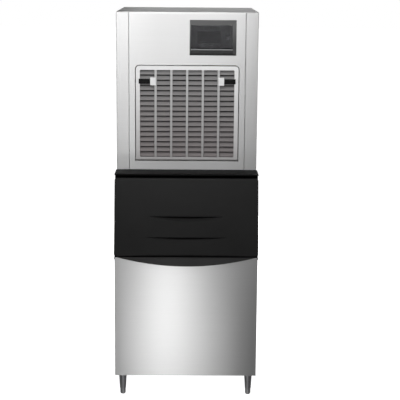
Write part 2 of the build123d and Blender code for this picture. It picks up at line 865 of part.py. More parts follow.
with BuildPart() as filter_grille:
    with BuildSketch(facing(y_grille)) as grille_face:
        with Locations((0, (z_grille_bottom + z_grille_top) / 2)):
            Rectangle(2 * grille_half_width, z_grille_top - z_grille_bottom)
        fillet(grille_face.vertices().group_by(Axis.Y)[-1], radius=grille_corner)
    extrude(amount=-grille_depth)
    fillet(
        filter_grille.edges().filter_by(Axis.X).group_by(Axis.Z)[0].sort_by(Axis.Y)[0],
        radius=y_pivot - y_grille - 0.01,
    )
    with BuildSketch(facing(y_grille)):
        with Locations((0, (z_grille_bottom + z_grille_top) / 2)):
            RectangleRounded(2 * louvre_half, louvre_field, 4)
    extrude(amount=-grille_depth, mode=Mode.SUBTRACT)
    for row in range(louvre_count):
        louvre_y = y_grille + louvre_setback
        louvre_z = z_grille_bottom + grille_border + (row + 0.1) * louvre_pitch
        with BuildSketch(Plane.YZ):
            with BuildLine():
                Polyline(
                    (louvre_y, louvre_z),
                    (louvre_y + louvre_depth, louvre_z + louvre_rise),
                    (louvre_y + louvre_depth, louvre_z + louvre_rise + louvre_thickness),
                    (louvre_y, louvre_z + louvre_thickness),
                    close=True,
                )
            make_face()
        extrude(amount=louvre_half, both=True)
    with BuildSketch(facing(y_grille + bar_setback)):
        with Locations((0, (z_grille_bottom + z_grille_top) / 2)):
            with GridLocations(bar_pitch, 1, bar_count, 1):
                Rectangle(bar_width, louvre_field)
    extrude(amount=-(louvre_setback - bar_setback))
    for side in (-1, 1):
        low, high = sorted((side * keeper_inner, side * (grille_half_width - 2)))
        box_between(
            (low, channel_back, z_latch - latch_tall / 2 - 4),
            (high, y_grille + grille_depth, z_latch + latch_tall / 2 + 4),
        )
        low, high = sorted((side * keeper_inner, side * keeper_outer))
        box_between(
            (low, y_grille - 4 - pad_wall, z_latch - pad_tall / 2),
            (high, y_grille + grille_depth, z_latch + pad_tall / 2),
        )
        low, high = sorted((side * (keeper_outer - latch_travel - 2), side * (latch_outer + seam)))
        box_between(
            (low, y_grille - 4 + seam, z_latch - latch_tall / 2 - seam),
            (high, channel_back, z_latch + latch_tall / 2 + seam),
            Mode.SUBTRACT,
        )
        low, high = sorted((side * keeper_outer, side * (latch_outer + seam)))
        box_between(
            (low, y_grille - 10, z_latch - latch_tall / 2 - seam),
            (high, channel_back, z_latch + latch_tall / 2 + seam),
            Mode.SUBTRACT,
        )
        low, high = sorted((side * latch_outer, side * (grille_half_width + 1)))
        box_between(
            (low, channel_back - tongue_thick - seam, z_latch - tongue_tall / 2 - seam),
            (high, channel_back, z_latch + tongue_tall / 2 + seam),
            Mode.SUBTRACT,
        )
    with Locations(Location((0, y_pivot, z_pivot), (0, 90, 0))):
        Cylinder(
            grille_pin_radius + running_gap,
            4 * grille_half_width,
            mode=Mode.SUBTRACT,
        )
filter_grille.part.label = "filter_grille"
export_step(filter_grille.part, "parts/filter_grille.step")

# Air filter: a framed mesh panel clipped to the back of the grille
filter_thick = 6
filter_bars = 4
with BuildPart() as air_filter:
    with BuildSketch(facing(y_grille + grille_depth)):
        with Locations((0, (z_grille_bottom + z_grille_top) / 2 + 4)):
            Rectangle(2 * louvre_half + 12, louvre_field + 10)
            with GridLocations(
                (2 * louvre_half + 12) / filter_bars,
                (louvre_field + 10) / filter_bars,
                filter_bars,
                filter_bars,
            ):
                Rectangle(
                    (2 * louvre_half + 12) / filter_bars - 6,
                    (louvre_field + 10) / filter_bars - 6,
                    mode=Mode.SUBTRACT,
                )
    extrude(amount=-filter_thick)
    with BuildSketch(facing(y_grille + grille_depth + filter_thick / 2)):
        with Locations((0, (z_grille_bottom + z_grille_top) / 2 + 4)):
            Rectangle(2 * louvre_half + 8, louvre_field + 6)
    extrude(amount=-sheet / 2)
air_filter.part.label = "air_filter"
export_step(air_filter.part, "parts/air_filter.step")

# Latches: a finger slide with a ridged pad and a tongue that reaches past the grille's edge
for side_name, side in (("left", -1), ("right", 1)):
    with BuildPart() as latch:
        low, high = sorted((side * keeper_outer, side * latch_outer))
        box_between(
            (low, y_grille - 4 + 2 * seam, z_latch - latch_tall / 2),
            (high, channel_back - seam, z_latch + latch_tall / 2),
        )
        low, high = sorted((side * (latch_outer - 4), side * (grille_half_width + grille_gap - 1)))
        box_between(
            (low, channel_back - tongue_thick, z_latch - tongue_tall / 2),
            (high, channel_back - seam, z_latch + tongue_tall / 2),
        )
        for rib in range(3):
            rib_x = side * (latch_outer - 12 - 6 * rib)
            box_between(
                (rib_x - 1.5, y_grille - 8, z_latch - latch_tall / 2 + 2),
                (rib_x + 1.5, y_grille - 3, z_latch + latch_tall / 2 - 2),
            )
    latch.part.label = f"{side_name}_latch"
    export_step(latch.part, f"parts/{side_name}_latch.step")

# Control window: a bevelled bezel, a hinged see-through cover, and the plate behind it
window_low = (bezel_left + bevel_left + 2, z_bezel + bevel_bottom)
window_high = (
    bezel_left + bezel_width - bevel_right - 1,
    z_bezel + bezel_height - bevel_top - 1,
)
window_mid = [(a + b) / 2 for a, b in zip(window_low, window_high)]
window_size = [b - a for a, b in zip(window_low, window_high)]
y_bezel = y_head - bezel_proud
bezel_back = 10
cover_clear = 0.5
cover_pin_radius = 1
y_cover_pivot = y_bezel + 1 + cover_thickness / 2
z_cover_pivot = window_high[1] - cover_clear - cover_thickness / 2

with BuildPart() as control_bezel:
    with BuildSketch(facing(y_head)):
        with Locations((bezel_left + bezel_width / 2, z_bezel + bezel_height / 2)):
            Rectangle(bezel_width, bezel_height)
    with BuildSketch(facing(y_bezel)):
        with Locations(
            (
                bezel_left + (bezel_width + bevel_left - bevel_right) / 2,
                z_bezel + (bezel_height + bevel_bottom / 2 - bevel_top) / 2,
            )
        ):
            Rectangle(
                bezel_width - bevel_left - bevel_right,
                bezel_height - bevel_bottom / 2 - bevel_top,
            )
    loft()
    with BuildSketch(facing(y_head)):
        with Locations((bezel_left + bezel_width / 2, z_bezel + bezel_height / 2)):
            Rectangle(
                bezel_width - 2 * bezel_inset - 2 * slide_gap,
                bezel_height - 2 * bezel_inset - 2 * slide_gap,
            )
    extrude(amount=-bezel_back)
    with BuildSketch(facing(y_bezel - 1)):
        with Locations(tuple(window_mid)):
            Rectangle(*window_size)
    extrude(amount=-(bezel_proud + bezel_back + 2), mode=Mode.SUBTRACT)
    with BuildSketch(facing(y_bezel - 1)):
        with Locations((window_mid[0], window_low[1] - 4)):
            RectangleRounded(window_size[0] / 2, 10, 4)
    extrude(amount=-(cover_thickness + 4), mode=Mode.SUBTRACT)
    with Locations(Location((window_mid[0], y_cover_pivot, z_cover_pivot), (0, 90, 0))):
        Cylinder(cover_pin_radius + running_gap, window_size[0] + 4, mode=Mode.SUBTRACT)
control_bezel.part.label = "control_bezel"
export_step(control_bezel.part, "parts/control_bezel.step")

with BuildPart() as control_cover:
    with BuildSketch(Plane.YZ.offset(window_mid[0])):
        with BuildLine():
            Polyline(
                (y_bezel + 1, z_cover_pivot),
                (y_bezel + 1, window_low[1] + cover_lip_tall),
                (y_bezel + 1 - cover_lip_proud, window_low[1] + cover_lip_tall - 4),
                (y_bezel + 1 - cover_lip_proud, window_low[1] + 2),
                (y_bezel + 1, window_low[1] + cover_clear),
                (y_bezel + 1 + cover_thickness, window_low[1] + cover_clear),
                (y_bezel + 1 + cover_thickness, z_cover_pivot),
                close=True,
            )
        make_face()
        with Locations((y_cover_pivot, z_cover_pivot)):
            Circle(cover_thickness / 2)
    extrude(amount=window_size[0] / 2 - cover_clear, both=True)
    with Locations(Location((window_mid[0], y_cover_pivot, z_cover_pivot), (0, 90, 0))):
        Cylinder(cover_pin_radius, window_size[0] + 3)
control_cover.part.label = "control_cover"
export_step(control_cover.part, "parts/control_cover.step")

y_plate = y_head + bezel_back
switch_size = (14, 22)
switch_place = (window_high[0] - 20, window_mid[1])
button_radius = 6
button_z = window_low[1] + 16
button_places = {
    "start": (window_low[0] + 45, button_z),
    "clean": (window_low[0] + 85, button_z),
}
display_size = (92, 46)
display_place = (window_low[0] + 72, window_mid[1] + 2)
button_travel = 1.5
lamp_size = (6, 3)
lamp_height = 1.5
rocker_angle = 8
y_switch_pivot = y_plate + 3.5
trunnion_radius = 2
trunnion_reach = 2

with BuildPart() as control_plate:
    with BuildSketch(facing(y_plate)):
        with Locations((bezel_left + bezel_width / 2, z_bezel + bezel_height / 2)):
            Rectangle(bezel_width + 10, bezel_height + 4)
        with Locations(switch_place):
            Rectangle(*switch_size, mode=Mode.SUBTRACT)
        with Locations(*button_places.values()):
            Circle(button_radius + slide_gap, mode=Mode.SUBTRACT)
    extrude(amount=-plate_thickness)
    with BuildSketch(facing(y_plate + plate_thickness)):
        with Locations(*button_places.values()):
            Rectangle(2 * button_radius + 10, 2 * button_radius + 10)
        with Locations(switch_place):
            Rectangle(switch_size[0] + 6, switch_size[1] + 6)
    extrude(amount=-16)
    with BuildSketch(facing(y_plate - 1)):
        with Locations(*button_places.values()):
            Circle(button_radius + slide_gap)
        with Locations(switch_place):
            Rectangle(*switch_size)
    extrude(amount=-14, mode=Mode.SUBTRACT)
    with BuildSketch(Plane.YZ.offset(switch_place[0])):
        with Locations((y_switch_pivot, switch_place[1])):
            Circle(trunnion_radius + running_gap)
    extrude(amount=switch_size[0] / 2 + trunnion_reach + seam, both=True, mode=Mode.SUBTRACT)
control_plate.part.label = "control_plate"
export_step(control_plate.part, "parts/control_plate.step")

with BuildPart() as display_window:
    with BuildSketch(facing(y_plate - 3)):
        with Locations(display_place):
            RectangleRounded(*display_size, 3)
    extrude(amount=-3)
display_window.part.label = "display_window"
export_step(display_window.part, "parts/display_window.step")

with BuildPart() as indicator_lights:
    with BuildSketch(facing(y_plate - lamp_height)):
        with Locations((display_place[0], window_high[1] - 12)):
            with GridLocations(18, 1, 4, 1):
                Rectangle(*lamp_size)
    extrude(amount=-lamp_height)
indicator_lights.part.label = "indicator_lights"
export_step(indicator_lights.part, "parts/indicator_lights.step")

# Rocker: two flats that meet on its pivot, with one end pressed in at rest
rocker_half = switch_size[1] / 2 - slide_gap - 0.3
with BuildPart() as power_switch:
    with BuildSketch(Plane.YZ.offset(switch_place[0])):
        with BuildLine():
            Polyline(
                (y_plate + 2.4, switch_place[1] - rocker_half + 1.4),
                (y_plate - 2.5, switch_place[1] - rocker_half + 0.8),
                (y_plate - 1.2, switch_place[1]),
                (y_plate + 0.4, switch_place[1] + rocker_half),
                (y_plate + 3.6, switch_place[1] + rocker_half - 0.6),
                (y_plate + 6.6, switch_place[1]),
                close=True,
            )
        make_face()
    extrude(amount=switch_size[0] / 2 - slide_gap, both=True)
    with BuildSketch(Plane.YZ.offset(switch_place[0])):
        with Locations((y_switch_pivot, switch_place[1])):
            Circle(trunnion_radius)
    extrude(amount=switch_size[0] / 2 + trunnion_reach, both=True)
power_switch.part.label = "power_switch"
export_step(power_switch.part, "parts/power_switch.step")

for button_name, (button_x, button_height) in button_places.items():
    with BuildPart() as push_button:
        with BuildSketch(facing(y_plate - button_travel - 1)):
            with Locations((button_x, button_height)):
                Circle(button_radius)
        extrude(amount=-(button_travel + 1 + plate_thickness + 5))
        chamfer(push_button.faces().sort_by(Axis.Y)[0].edges(), length=0.8)
    push_button.part.label = f"{button_name}_button"
    export_step(push_button.part, f"parts/{button_name}_button.step")

# Air side: condenser coil, fan shroud, fan and its motor
condenser_half = grille_half_width - 22
condenser_low = z_grille_bottom + 10
condenser_high = z_grille_top - 8
condenser_front = y_surround + surround_depth + 1
condenser_thick = 40
tube_radius = 5
bend_radius = 12
tube_rows = 5
with BuildPart() as condenser_coil:
    box_between(
        (-condenser_half, condenser_front, condenser_low),
        (condenser_half, condenser_front + condenser_thick, condenser_high),
    )
    for end in (-1, 1):
        end_low, end_high = sorted((end * condenser_half, end * (condenser_half + 1.5)))
        box_between(
            (end_low, condenser_front - 1, condenser_low - 3),
            (end_high, condenser_front + condenser_thick + 1, condenser_high + 3),
        )
        tab_low, tab_high = sorted((end * condenser_half, end * (opening_half + surround_wall)))
        box_between(
            (tab_low, condenser_front - 1, condenser_low - 3),
            (tab_high, condenser_front, condenser_high + 3),
        )
        for row in range(tube_rows):
            bend_z = condenser_low + 30 + row * (condenser_high - condenser_low - 60) / (tube_rows - 1)
            with BuildSketch(facing(condenser_front + condenser_thick / 2 - tube_radius)):
                with Locations((end * (condenser_half + 1), bend_z)):
                    Rectangle(2 * (bend_radius + tube_radius), 2 * (bend_radius + tube_radius))
                    Rectangle(
                        2 * (bend_radius - tube_radius),
                        2 * (bend_radius - tube_radius),
                        mode=Mode.SUBTRACT,
                    )
            extrude(amount=-2 * tube_radius)
condenser_coil.part.label = "condenser_coil"
export_step(condenser_coil.part, "parts/condenser_coil.step")

shroud_front = condenser_front + condenser_thick + 1
shroud_depth = 28
fan_z = (condenser_low + condenser_high) / 2
shroud_bore = fan_radius + 6
with BuildPart() as fan_shroud:
    with BuildSketch(facing(shroud_front)):
        with Locations((0, fan_z)):
            Rectangle(2 * condenser_half + 4, condenser_high - condenser_low)
            Circle(shroud_bore, mode=Mode.SUBTRACT)
    extrude(amount=-2)
    with BuildSketch(facing(shroud_front)):
        with Locations((0, fan_z)):
            Circle(shroud_bore + 2)
            Circle(shroud_bore, mode=Mode.SUBTRACT)
    extrude(amount=-shroud_depth)
    with BuildSketch(facing(shroud_front)):
        with Locations((0, fan_z)):
            Rectangle(2 * condenser_half + 4, condenser_high - condenser_low)
            Rectangle(2 * condenser_half, condenser_high - condenser_low - 4, mode=Mode.SUBTRACT)
    extrude(amount=-shroud_depth / 2)
fan_shroud.part.label = "fan_shroud"
export_step(fan_shroud.part, "parts/fan_shroud.step")

fan_y = shroud_front + shroud_depth - 4
with BuildPart() as fan_blade:
    with BuildSketch(facing(fan_y - fan_depth / 2)):
        with Locations((0, fan_z)):
            Circle(fan_hub_radius)
    extrude(amount=-fan_depth)
    for blade in range(fan_blades):
        angle = radians(90 + 360 / fan_blades * blade)
        for reach, chord, pitch in ((fan_hub_radius - 4, 46, 38), (fan_radius, 84, 18)):
            root = Plane(
                origin=(reach * cos(angle), fan_y, fan_z + reach * sin(angle)),
                x_dir=(-sin(angle), 0, cos(angle)),
                z_dir=(cos(angle), 0, sin(angle)),
            )
            with BuildSketch(root.rotated((0, 0, pitch))):
                Rectangle(chord, 2.2)
        loft()
    with Locations(Location((0, fan_y, fan_z), (90, 0, 0))):
        Cylinder(fan_radius, 4 * fan_depth, mode=Mode.INTERSECT)
        Cylinder(4 + running_gap, 4 * fan_depth, mode=Mode.SUBTRACT)
fan_blade.part.label = "fan_blade"
export_step(fan_blade.part, "parts/fan_blade.step")

motor_front = fan_y + fan_depth / 2 + 6
motor_length = 62
motor_radius = 42
with BuildPart() as fan_motor:
    with BuildSketch(facing(motor_front)):
        with Locations((0, fan_z)):
            Circle(motor_radius)
    extrude(amount=-motor_length)
    chamfer(fan_motor.edges().filter_by(GeomType.CIRCLE), length=6)
    with BuildSketch(facing(fan_y - fan_depth / 2 + 2)):
        with Locations((0, fan_z)):
            Circle(4)
    extrude(amount=-(motor_front - fan_y + fan_depth))
    for arm in range(3):
        arm_angle = 90 + 120 * arm
        with BuildSketch(facing(motor_front + 8)):
            with Locations((0, fan_z)):
                with Locations(Location((0, 0, 0), (0, 0, arm_angle))):
                    with Locations(((motor_radius + shroud_bore) / 2 - 3, 0)):
                        Rectangle(shroud_bore - motor_radius + 16, 14)
        extrude(amount=-3)
        foot_x = (shroud_bore + 1) * cos(radians(arm_angle))
        foot_z = fan_z + (shroud_bore + 1) * sin(radians(arm_angle))
        with BuildSketch(facing(shroud_front + shroud_depth)):
            with Locations((foot_x, foot_z)):
                Rectangle(8, 8)
        extrude(amount=-(motor_front + 10 - shroud_front - shroud_depth))
fan_motor.part.label = "fan_motor"
export_step(fan_motor.part, "parts/fan_motor.step")

# Refrigeration: compressor on rubber feet, filter drier and pipes
compressor_x = -half_width + 105
compressor_y = y_back - 160
mount_height = 14
z_compressor = z_shell + mount_height
with BuildPart() as compressor_mounts:
    with BuildSketch(Plane.XY.offset(z_shell)):
        with Locations((compressor_x, compressor_y)):
            with GridLocations(126, 126, 2, 2):
                Rectangle(24, 24)
    extrude(amount=mount_height)
compressor_mounts.part.label = "compressor_mounts"
export_step(compressor_mounts.part, "parts/compressor_mounts.step")

with BuildPart() as compressor:
    with BuildSketch(Plane.XY.offset(z_compressor)):
        with Locations((compressor_x, compressor_y)):
            RectangleRounded(156, 156, 18)
    extrude(amount=4)
    with BuildSketch(Plane.XY.offset(z_compressor + 4)):
        with Locations((compressor_x, compressor_y)):
            Circle(compressor_radius)
    extrude(amount=compressor_height)
    chamfer(compressor.faces().sort_by(Axis.Z)[-1].edges(), length=compressor_radius / 4)
    with Locations((compressor_x + compressor_radius - 8, compressor_y, z_compressor + 140)):
        Box(34, 50, 60)
compressor.part.label = "compressor"
export_step(compressor.part, "parts/compressor.step")

# Ice side: gear motor, barrel, auger, ice head and chute
barrel_x = half_width - 130
barrel_y = drop_y
z_gearbox = z_shell
z_barrel = z_gearbox + gearbox_height
z_barrel_top = z_barrel + barrel_height
auger_reach = barrel_bore - 1
with BuildPart() as gear_motor:
    with BuildSketch(Plane.XY.offset(z_gearbox)):
        with Locations((barrel_x, barrel_y)):
            RectangleRounded(130, 150, 16)
    extrude(amount=gearbox_height * 0.6)
    with BuildSketch(Plane.XY.offset(z_gearbox + gearbox_height * 0.6)):
        with Locations((barrel_x, barrel_y)):
            Circle(58)
            Circle(auger_core - 8 + running_gap, mode=Mode.SUBTRACT)
    extrude(amount=gearbox_height * 0.4)
    with Locations(Location((barrel_x, barrel_y + 115, z_gearbox + 46), (90, 0, 0))):
        Cylinder(42, 100)
gear_motor.part.label = "gear_motor"
export_step(gear_motor.part, "parts/gear_motor.step")

with BuildPart() as evaporator_barrel:
    with BuildSketch(Plane.XY.offset(z_barrel)):
        with Locations((barrel_x, barrel_y)):
            Circle(barrel_radius)
            Circle(barrel_bore, mode=Mode.SUBTRACT)
    extrude(amount=barrel_height)
    with BuildSketch(Plane.XY.offset(z_barrel)):
        with Locations((barrel_x, barrel_y)):
            Circle(barrel_radius + 6)
            Circle(barrel_bore, mode=Mode.SUBTRACT)
    extrude(amount=12)
evaporator_barrel.part.label = "evaporator_barrel"
export_step(evaporator_barrel.part, "parts/evaporator_barrel.step")

flight_span = barrel_height - 60
flight_tall = flight_pitch * int(flight_span / flight_pitch)
flight_width = auger_reach - auger_core + 4
flight_mid = auger_core - 4 + flight_width / 2
with BuildPart() as auger:
    with Locations((barrel_x, barrel_y, z_barrel + barrel_height / 2)):
        Cylinder(auger_core, barrel_height - 4)
    with Locations((barrel_x, barrel_y, z_barrel - 20)):
        Cylinder(auger_core - 8, 48)
    flight_start = z_barrel + 20
    with BuildSketch(Plane.XZ.offset(-barrel_y)):
        with Locations((barrel_x + flight_mid, flight_start)):
            Rectangle(flight_width, flight_thickness)
    flight_path = Helix(
        pitch=flight_pitch,
        height=flight_tall,
        radius=flight_mid,
        center=(barrel_x, barrel_y, flight_start),
    )
    sweep(path=flight_path, is_frenet=True)
auger.part.label = "auger"
export_step(auger.part, "parts/auger.step")

head_tall = 56
with BuildPart() as ice_head:
    with BuildSketch(Plane.XY.offset(z_barrel_top)):
        with Locations((barrel_x, barrel_y)):
            Circle(barrel_radius)
    extrude(amount=head_tall)
    with BuildSketch(Plane.XY.offset(z_barrel_top)):
        with Locations((barrel_x, barrel_y)):
            Circle(barrel_bore)
    extrude(amount=head_tall - 10, mode=Mode.SUBTRACT)
    box_between(
        (drop_x + chute_width / 2, barrel_y - 32, z_barrel_top + 6),
        (barrel_x, barrel_y + 32, z_barrel_top + head_tall - 10),
    )
    box_between(
        (drop_x + chute_width / 2 - 1, barrel_y - 30, z_barrel_top + 8),
        (barrel_x, barrel_y + 30, z_barrel_top + head_tall - 12),
        Mode.SUBTRACT,
    )
    with BuildSketch(Plane.XY.offset(z_barrel_top)):
        with Locations((barrel_x, barrel_y)):
            Circle(barrel_bore)
    extrude(amount=head_tall - 10, mode=Mode.SUBTRACT)
ice_head.part.label = "ice_head"
export_step(ice_head.part, "parts/ice_head.step")

z_chute_top = z_barrel_top + head_tall
z_chute_bottom = z_store_top - 12
with BuildPart() as ice_chute:
    box_between(
        (drop_x - chute_width / 2, drop_y - chute_depth / 2, z_chute_bottom),
        (drop_x + chute_width / 2, drop_y + chute_depth / 2, z_chute_top),
    )
    box_between(
        (
            drop_x - chute_width / 2 + chute_wall,
            drop_y - chute_depth / 2 + chute_wall,
            z_chute_bottom - 1,
        ),
        (
            drop_x + chute_width / 2 - chute_wall,
            drop_y + chute_depth / 2 - chute_wall,
            z_chute_top - chute_wall,
        ),
        Mode.SUBTRACT,
    )
    box_between(
        (drop_x, barrel_y - 30, z_barrel_top + 8),
        (drop_x + chute_width, barrel_y + 30, z_barrel_top + head_tall - 12),
        Mode.SUBTRACT,
    )
    with BuildSketch(Plane.XY.offset(z_shell)):
        with Locations((drop_x, drop_y)):
            Rectangle(chute_width + 16, chute_depth + 16)
            Rectangle(chute_width, chute_depth, mode=Mode.SUBTRACT)
    extrude(amount=chute_wall)
ice_chute.part.label = "ice_chute"
export_step(ice_chute.part, "parts/ice_chute.step")

# Water side: open reservoir with its float, and the inlet valve
tank_low = (half_width - 150, y_back - 105, z_barrel + 120)
tank_high = (half_width - 12, y_back - 12, z_barrel + 240)
tank_wall = 2.5
float_pivot = (tank_high[0] - 30, tank_high[2] - 18)
with BuildPart() as water_reservoir:
    box_between(tank_low, tank_high)
    box_between(
        [a + tank_wall for a in tank_low],
        (tank_high[0] - tank_wall, tank_high[1] - tank_wall, tank_high[2] + 1),
        Mode.SUBTRACT,
    )
    box_between(
        (tank_high[0] - 8, y_back - 12, tank_low[2]),
        (tank_high[0], y_back - sheet, tank_high[2]),
    )
water_reservoir.part.label = "water_reservoir"
export_step(water_reservoir.part, "parts/water_reservoir.step")

tank_mid_y = (tank_low[1] + tank_high[1]) / 2
with BuildPart() as float_pin:
    with Locations(Location((float_pivot[0], tank_mid_y, float_pivot[1]), (90, 0, 0))):
        Cylinder(2, tank_high[1] - tank_low[1] - 2 * tank_wall)
float_pin.part.label = "float_pin"
export_step(float_pin.part, "parts/float_pin.step")

with BuildPart() as float_lever:
    with BuildSketch(Plane.XZ.offset(-tank_mid_y)):
        with Locations(float_pivot):
            Circle(5)
        with Locations((float_pivot[0] - 30, float_pivot[1])):
            Rectangle(60, 4)
        with Locations(float_pivot):
            Circle(2 + running_gap, mode=Mode.SUBTRACT)
    extrude(amount=4, both=True)
    with Locations((float_pivot[0] - 66, tank_mid_y, float_pivot[1] - 16)):
        Cylinder(19, 34)
    chamfer(float_lever.edges().filter_by(GeomType.CIRCLE).group_by(Axis.Z)[0], length=5)
float_lever.part.label = "float_lever"
export_step(float_lever.part, "parts/float_lever.step")

with BuildPart() as water_inlet_valve:
    with BuildSketch(facing(y_back + rear_reach)):
        with Locations((inlet_x, inlet_z)):
            Circle(inlet_radius)
    extrude(amount=rear_reach)
    with BuildSketch(facing(y_back + rear_reach)):
        with Locations((inlet_x, inlet_z)):
            Circle(inlet_neck_radius)
    extrude(amount=rear_reach + sheet + 20)
    with BuildSketch(facing(y_back + rear_reach)):
        with Locations((inlet_x, inlet_z)):
            Circle(inlet_bore)
    extrude(amount=rear_reach + sheet + 20, mode=Mode.SUBTRACT)
    box_between(
        (inlet_x - 20, y_back - sheet - 44, inlet_z - 16),
        (inlet_x + 20, y_back - sheet - 18, inlet_z + 16),
    )
    with Locations((inlet_x, y_back - sheet - 31, inlet_z + 30)):
        Cylinder(13, 34)
water_inlet_valve.part.label = "water_inlet_valve"
export_step(water_inlet_valve.part, "parts/water_inlet_valve.step")

# Electrics: the power inlet on the rear panel and the control box behind the window
with BuildPart() as power_inlet:
    with BuildSketch(facing(y_back + 4)):
        with Locations((socket_x, socket_z)):
            RectangleRounded(*socket_flange, 4)
    extrude(amount=4)
    with BuildSketch(facing(y_back)):
        with Locations((socket_x, socket_z)):
            Rectangle(*socket_size)
    extrude(amount=24)
    with BuildSketch(facing(y_back + 5)):
        with Locations((socket_x, socket_z)):
            Rectangle(socket_size[0] - 4, socket_size[1] - 4)
    extrude(amount=22, mode=Mode.SUBTRACT)
    with BuildSketch(facing(y_back - 2)):
        with Locations((socket_x, socket_z)):
            with GridLocations(7, 1, 3, 1):
                Rectangle(2, 6)
    extrude(amount=19)
power_inlet.part.label = "power_inlet"
export_step(power_inlet.part, "parts/power_inlet.step")

box_depth = 78
y_box = y_plate + plate_thickness + 16
with BuildPart() as electrical_box:
    box_between(
        (bezel_left - 4, y_box, z_bezel - 2),
        (bezel_left + bezel_width + 4, y_box + box_depth, z_bezel + bezel_height + 2),
    )
    box_between(
        (bezel_left - 4 + sheet, y_box + sheet, z_bezel - 2 + sheet),
        (
            bezel_left + bezel_width + 4 - sheet,
            y_box + box_depth - sheet,
            z_bezel + bezel_height + 2 - sheet,
        ),
        Mode.SUBTRACT,
    )
electrical_box.part.label = "electrical_box"
export_step(electrical_box.part, "parts/electrical_box.step")
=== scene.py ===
# Granular ice machine on its storage bin: finishes, small fittings, studio and camera.
# Metres, X to the right, Y to the back, Z up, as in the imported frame.
import json
from math import cos, pi, radians, sin
import bmesh
import bpy
from mathutils import Matrix, Vector


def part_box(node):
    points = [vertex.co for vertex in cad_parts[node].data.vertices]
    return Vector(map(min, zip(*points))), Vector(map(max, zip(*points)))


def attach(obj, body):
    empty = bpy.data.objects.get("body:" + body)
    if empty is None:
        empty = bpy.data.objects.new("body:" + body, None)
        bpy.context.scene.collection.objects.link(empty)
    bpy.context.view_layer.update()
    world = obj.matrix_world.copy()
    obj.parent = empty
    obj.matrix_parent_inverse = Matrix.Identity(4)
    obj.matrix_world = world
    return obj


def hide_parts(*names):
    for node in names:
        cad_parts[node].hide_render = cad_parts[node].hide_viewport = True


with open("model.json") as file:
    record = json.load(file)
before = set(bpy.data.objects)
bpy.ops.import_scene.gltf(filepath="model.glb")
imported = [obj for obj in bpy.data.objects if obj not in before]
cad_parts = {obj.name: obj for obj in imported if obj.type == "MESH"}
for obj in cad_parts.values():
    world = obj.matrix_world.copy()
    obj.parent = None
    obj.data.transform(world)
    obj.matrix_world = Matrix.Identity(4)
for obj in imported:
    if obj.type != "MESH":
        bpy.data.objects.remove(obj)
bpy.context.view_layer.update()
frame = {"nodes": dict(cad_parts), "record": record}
record = frame["record"]
print("frame loaded:", len(frame["nodes"]), "nodes")


# Small helpers for colour, nodes and meshes
def hexColour(code):
    # sRGB hex to the linear values that shaders take
    channels = [int(code[i:i + 2], 16) / 255 for i in (0, 2, 4)]
    linear = [c / 12.92 if c <= 0.04045 else ((c + 0.055) / 1.055) ** 2.4 for c in channels]
    return (*linear, 1.0)


def addNode(tree, kind, settings=None, links=None, ramp=()):
    # settings are the node's own choices or its sockets' values; a ramp is pairs of position and hex
    node = tree.nodes.new(kind)
    for key, value in (settings or {}).items():
        if isinstance(key, str) and hasattr(node, key):
            setattr(node, key, value)
        else:
            node.inputs[key].default_value = value
    for stop, (position, code) in enumerate(ramp):
        node.color_ramp.elements[stop].position = position
        node.color_ramp.elements[stop].color = hexColour(code)
    for key, socket in (links or {}).items():
        tree.links.new(socket, node.inputs[key])
    return node


def startMaterial(name, settings):
    material = bpy.data.materials.new(name)
    material.use_nodes = True
    tree = material.node_tree
    tree.nodes.clear()
    shader = addNode(tree, "ShaderNodeBsdfPrincipled", settings)
    addNode(tree, "ShaderNodeOutputMaterial", links={"Surface": shader.outputs[0]})
    place = addNode(tree, "ShaderNodeTexCoord").outputs["Object"]
    return material, tree, shader, place


def dressShader(tree, shader, colour=None, roughness=None, relief=None):
    # colour is (factor, ramp), roughness (factor, lowest, highest), relief (height, depth in mm, strength)
    if colour:
        factor, ramp = colour
        tone = addNode(tree, "ShaderNodeValToRGB", links={"Fac": factor}, ramp=ramp)
        tree.links.new(tone.outputs["Color"], shader.inputs["Base Color"])
    if roughness:
        factor, lowest, highest = roughness
        settings = {"To Min": lowest, "To Max": highest}
        gloss = addNode(tree, "ShaderNodeMapRange", settings, {"Value": factor})
        tree.links.new(gloss.outputs["Result"], shader.inputs["Roughness"])
    if relief:
        height, depthMm, strength = relief
        settings = {"Distance": depthMm / 1000, "Strength": strength}
        grain = addNode(tree, "ShaderNodeBump", settings, {"Height": height})
        tree.links.new(grain.outputs["Normal"], shader.inputs["Normal"])


def perMetre(millimetres):
    return 1000 / millimetres  # a texture scale whose features are this many mm apart


bandsApart = 2 * pi / 20  # how far apart a Wave texture's bands are at scale 1


def meshPiece(name, bm, material, body, smoothDegrees=35):
    mesh = bpy.data.meshes.new(name)
    bmesh.ops.recalc_face_normals(bm, faces=bm.faces)
    for face in bm.faces:
        face.smooth = True
    for edge in bm.edges:
        if len(edge.link_faces) == 2 and edge.calc_face_angle(0) > radians(smoothDegrees):
            edge.smooth = False
    bm.to_mesh(mesh)
    bm.free()
    piece = bpy.data.objects.new(name, mesh)
    bpy.context.scene.collection.objects.link(piece)
    piece.data.materials.append(material)
    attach(piece, body)
    return piece


def joinRings(bm, rings, closed=False):
    # skins the rings in their order; a closed set ends on its first ring, an open one gets two caps
    pairs = list(zip(rings, rings[1:]))
    if closed:
        pairs.append((rings[-1], rings[0]))
    for first, second in pairs:
        for i in range(len(first)):
            j = (i + 1) % len(first)
            bm.faces.new((first[i], first[j], second[j], second[i]))
    if not closed:
        bm.faces.new(rings[0])
        bm.faces.new(rings[-1])


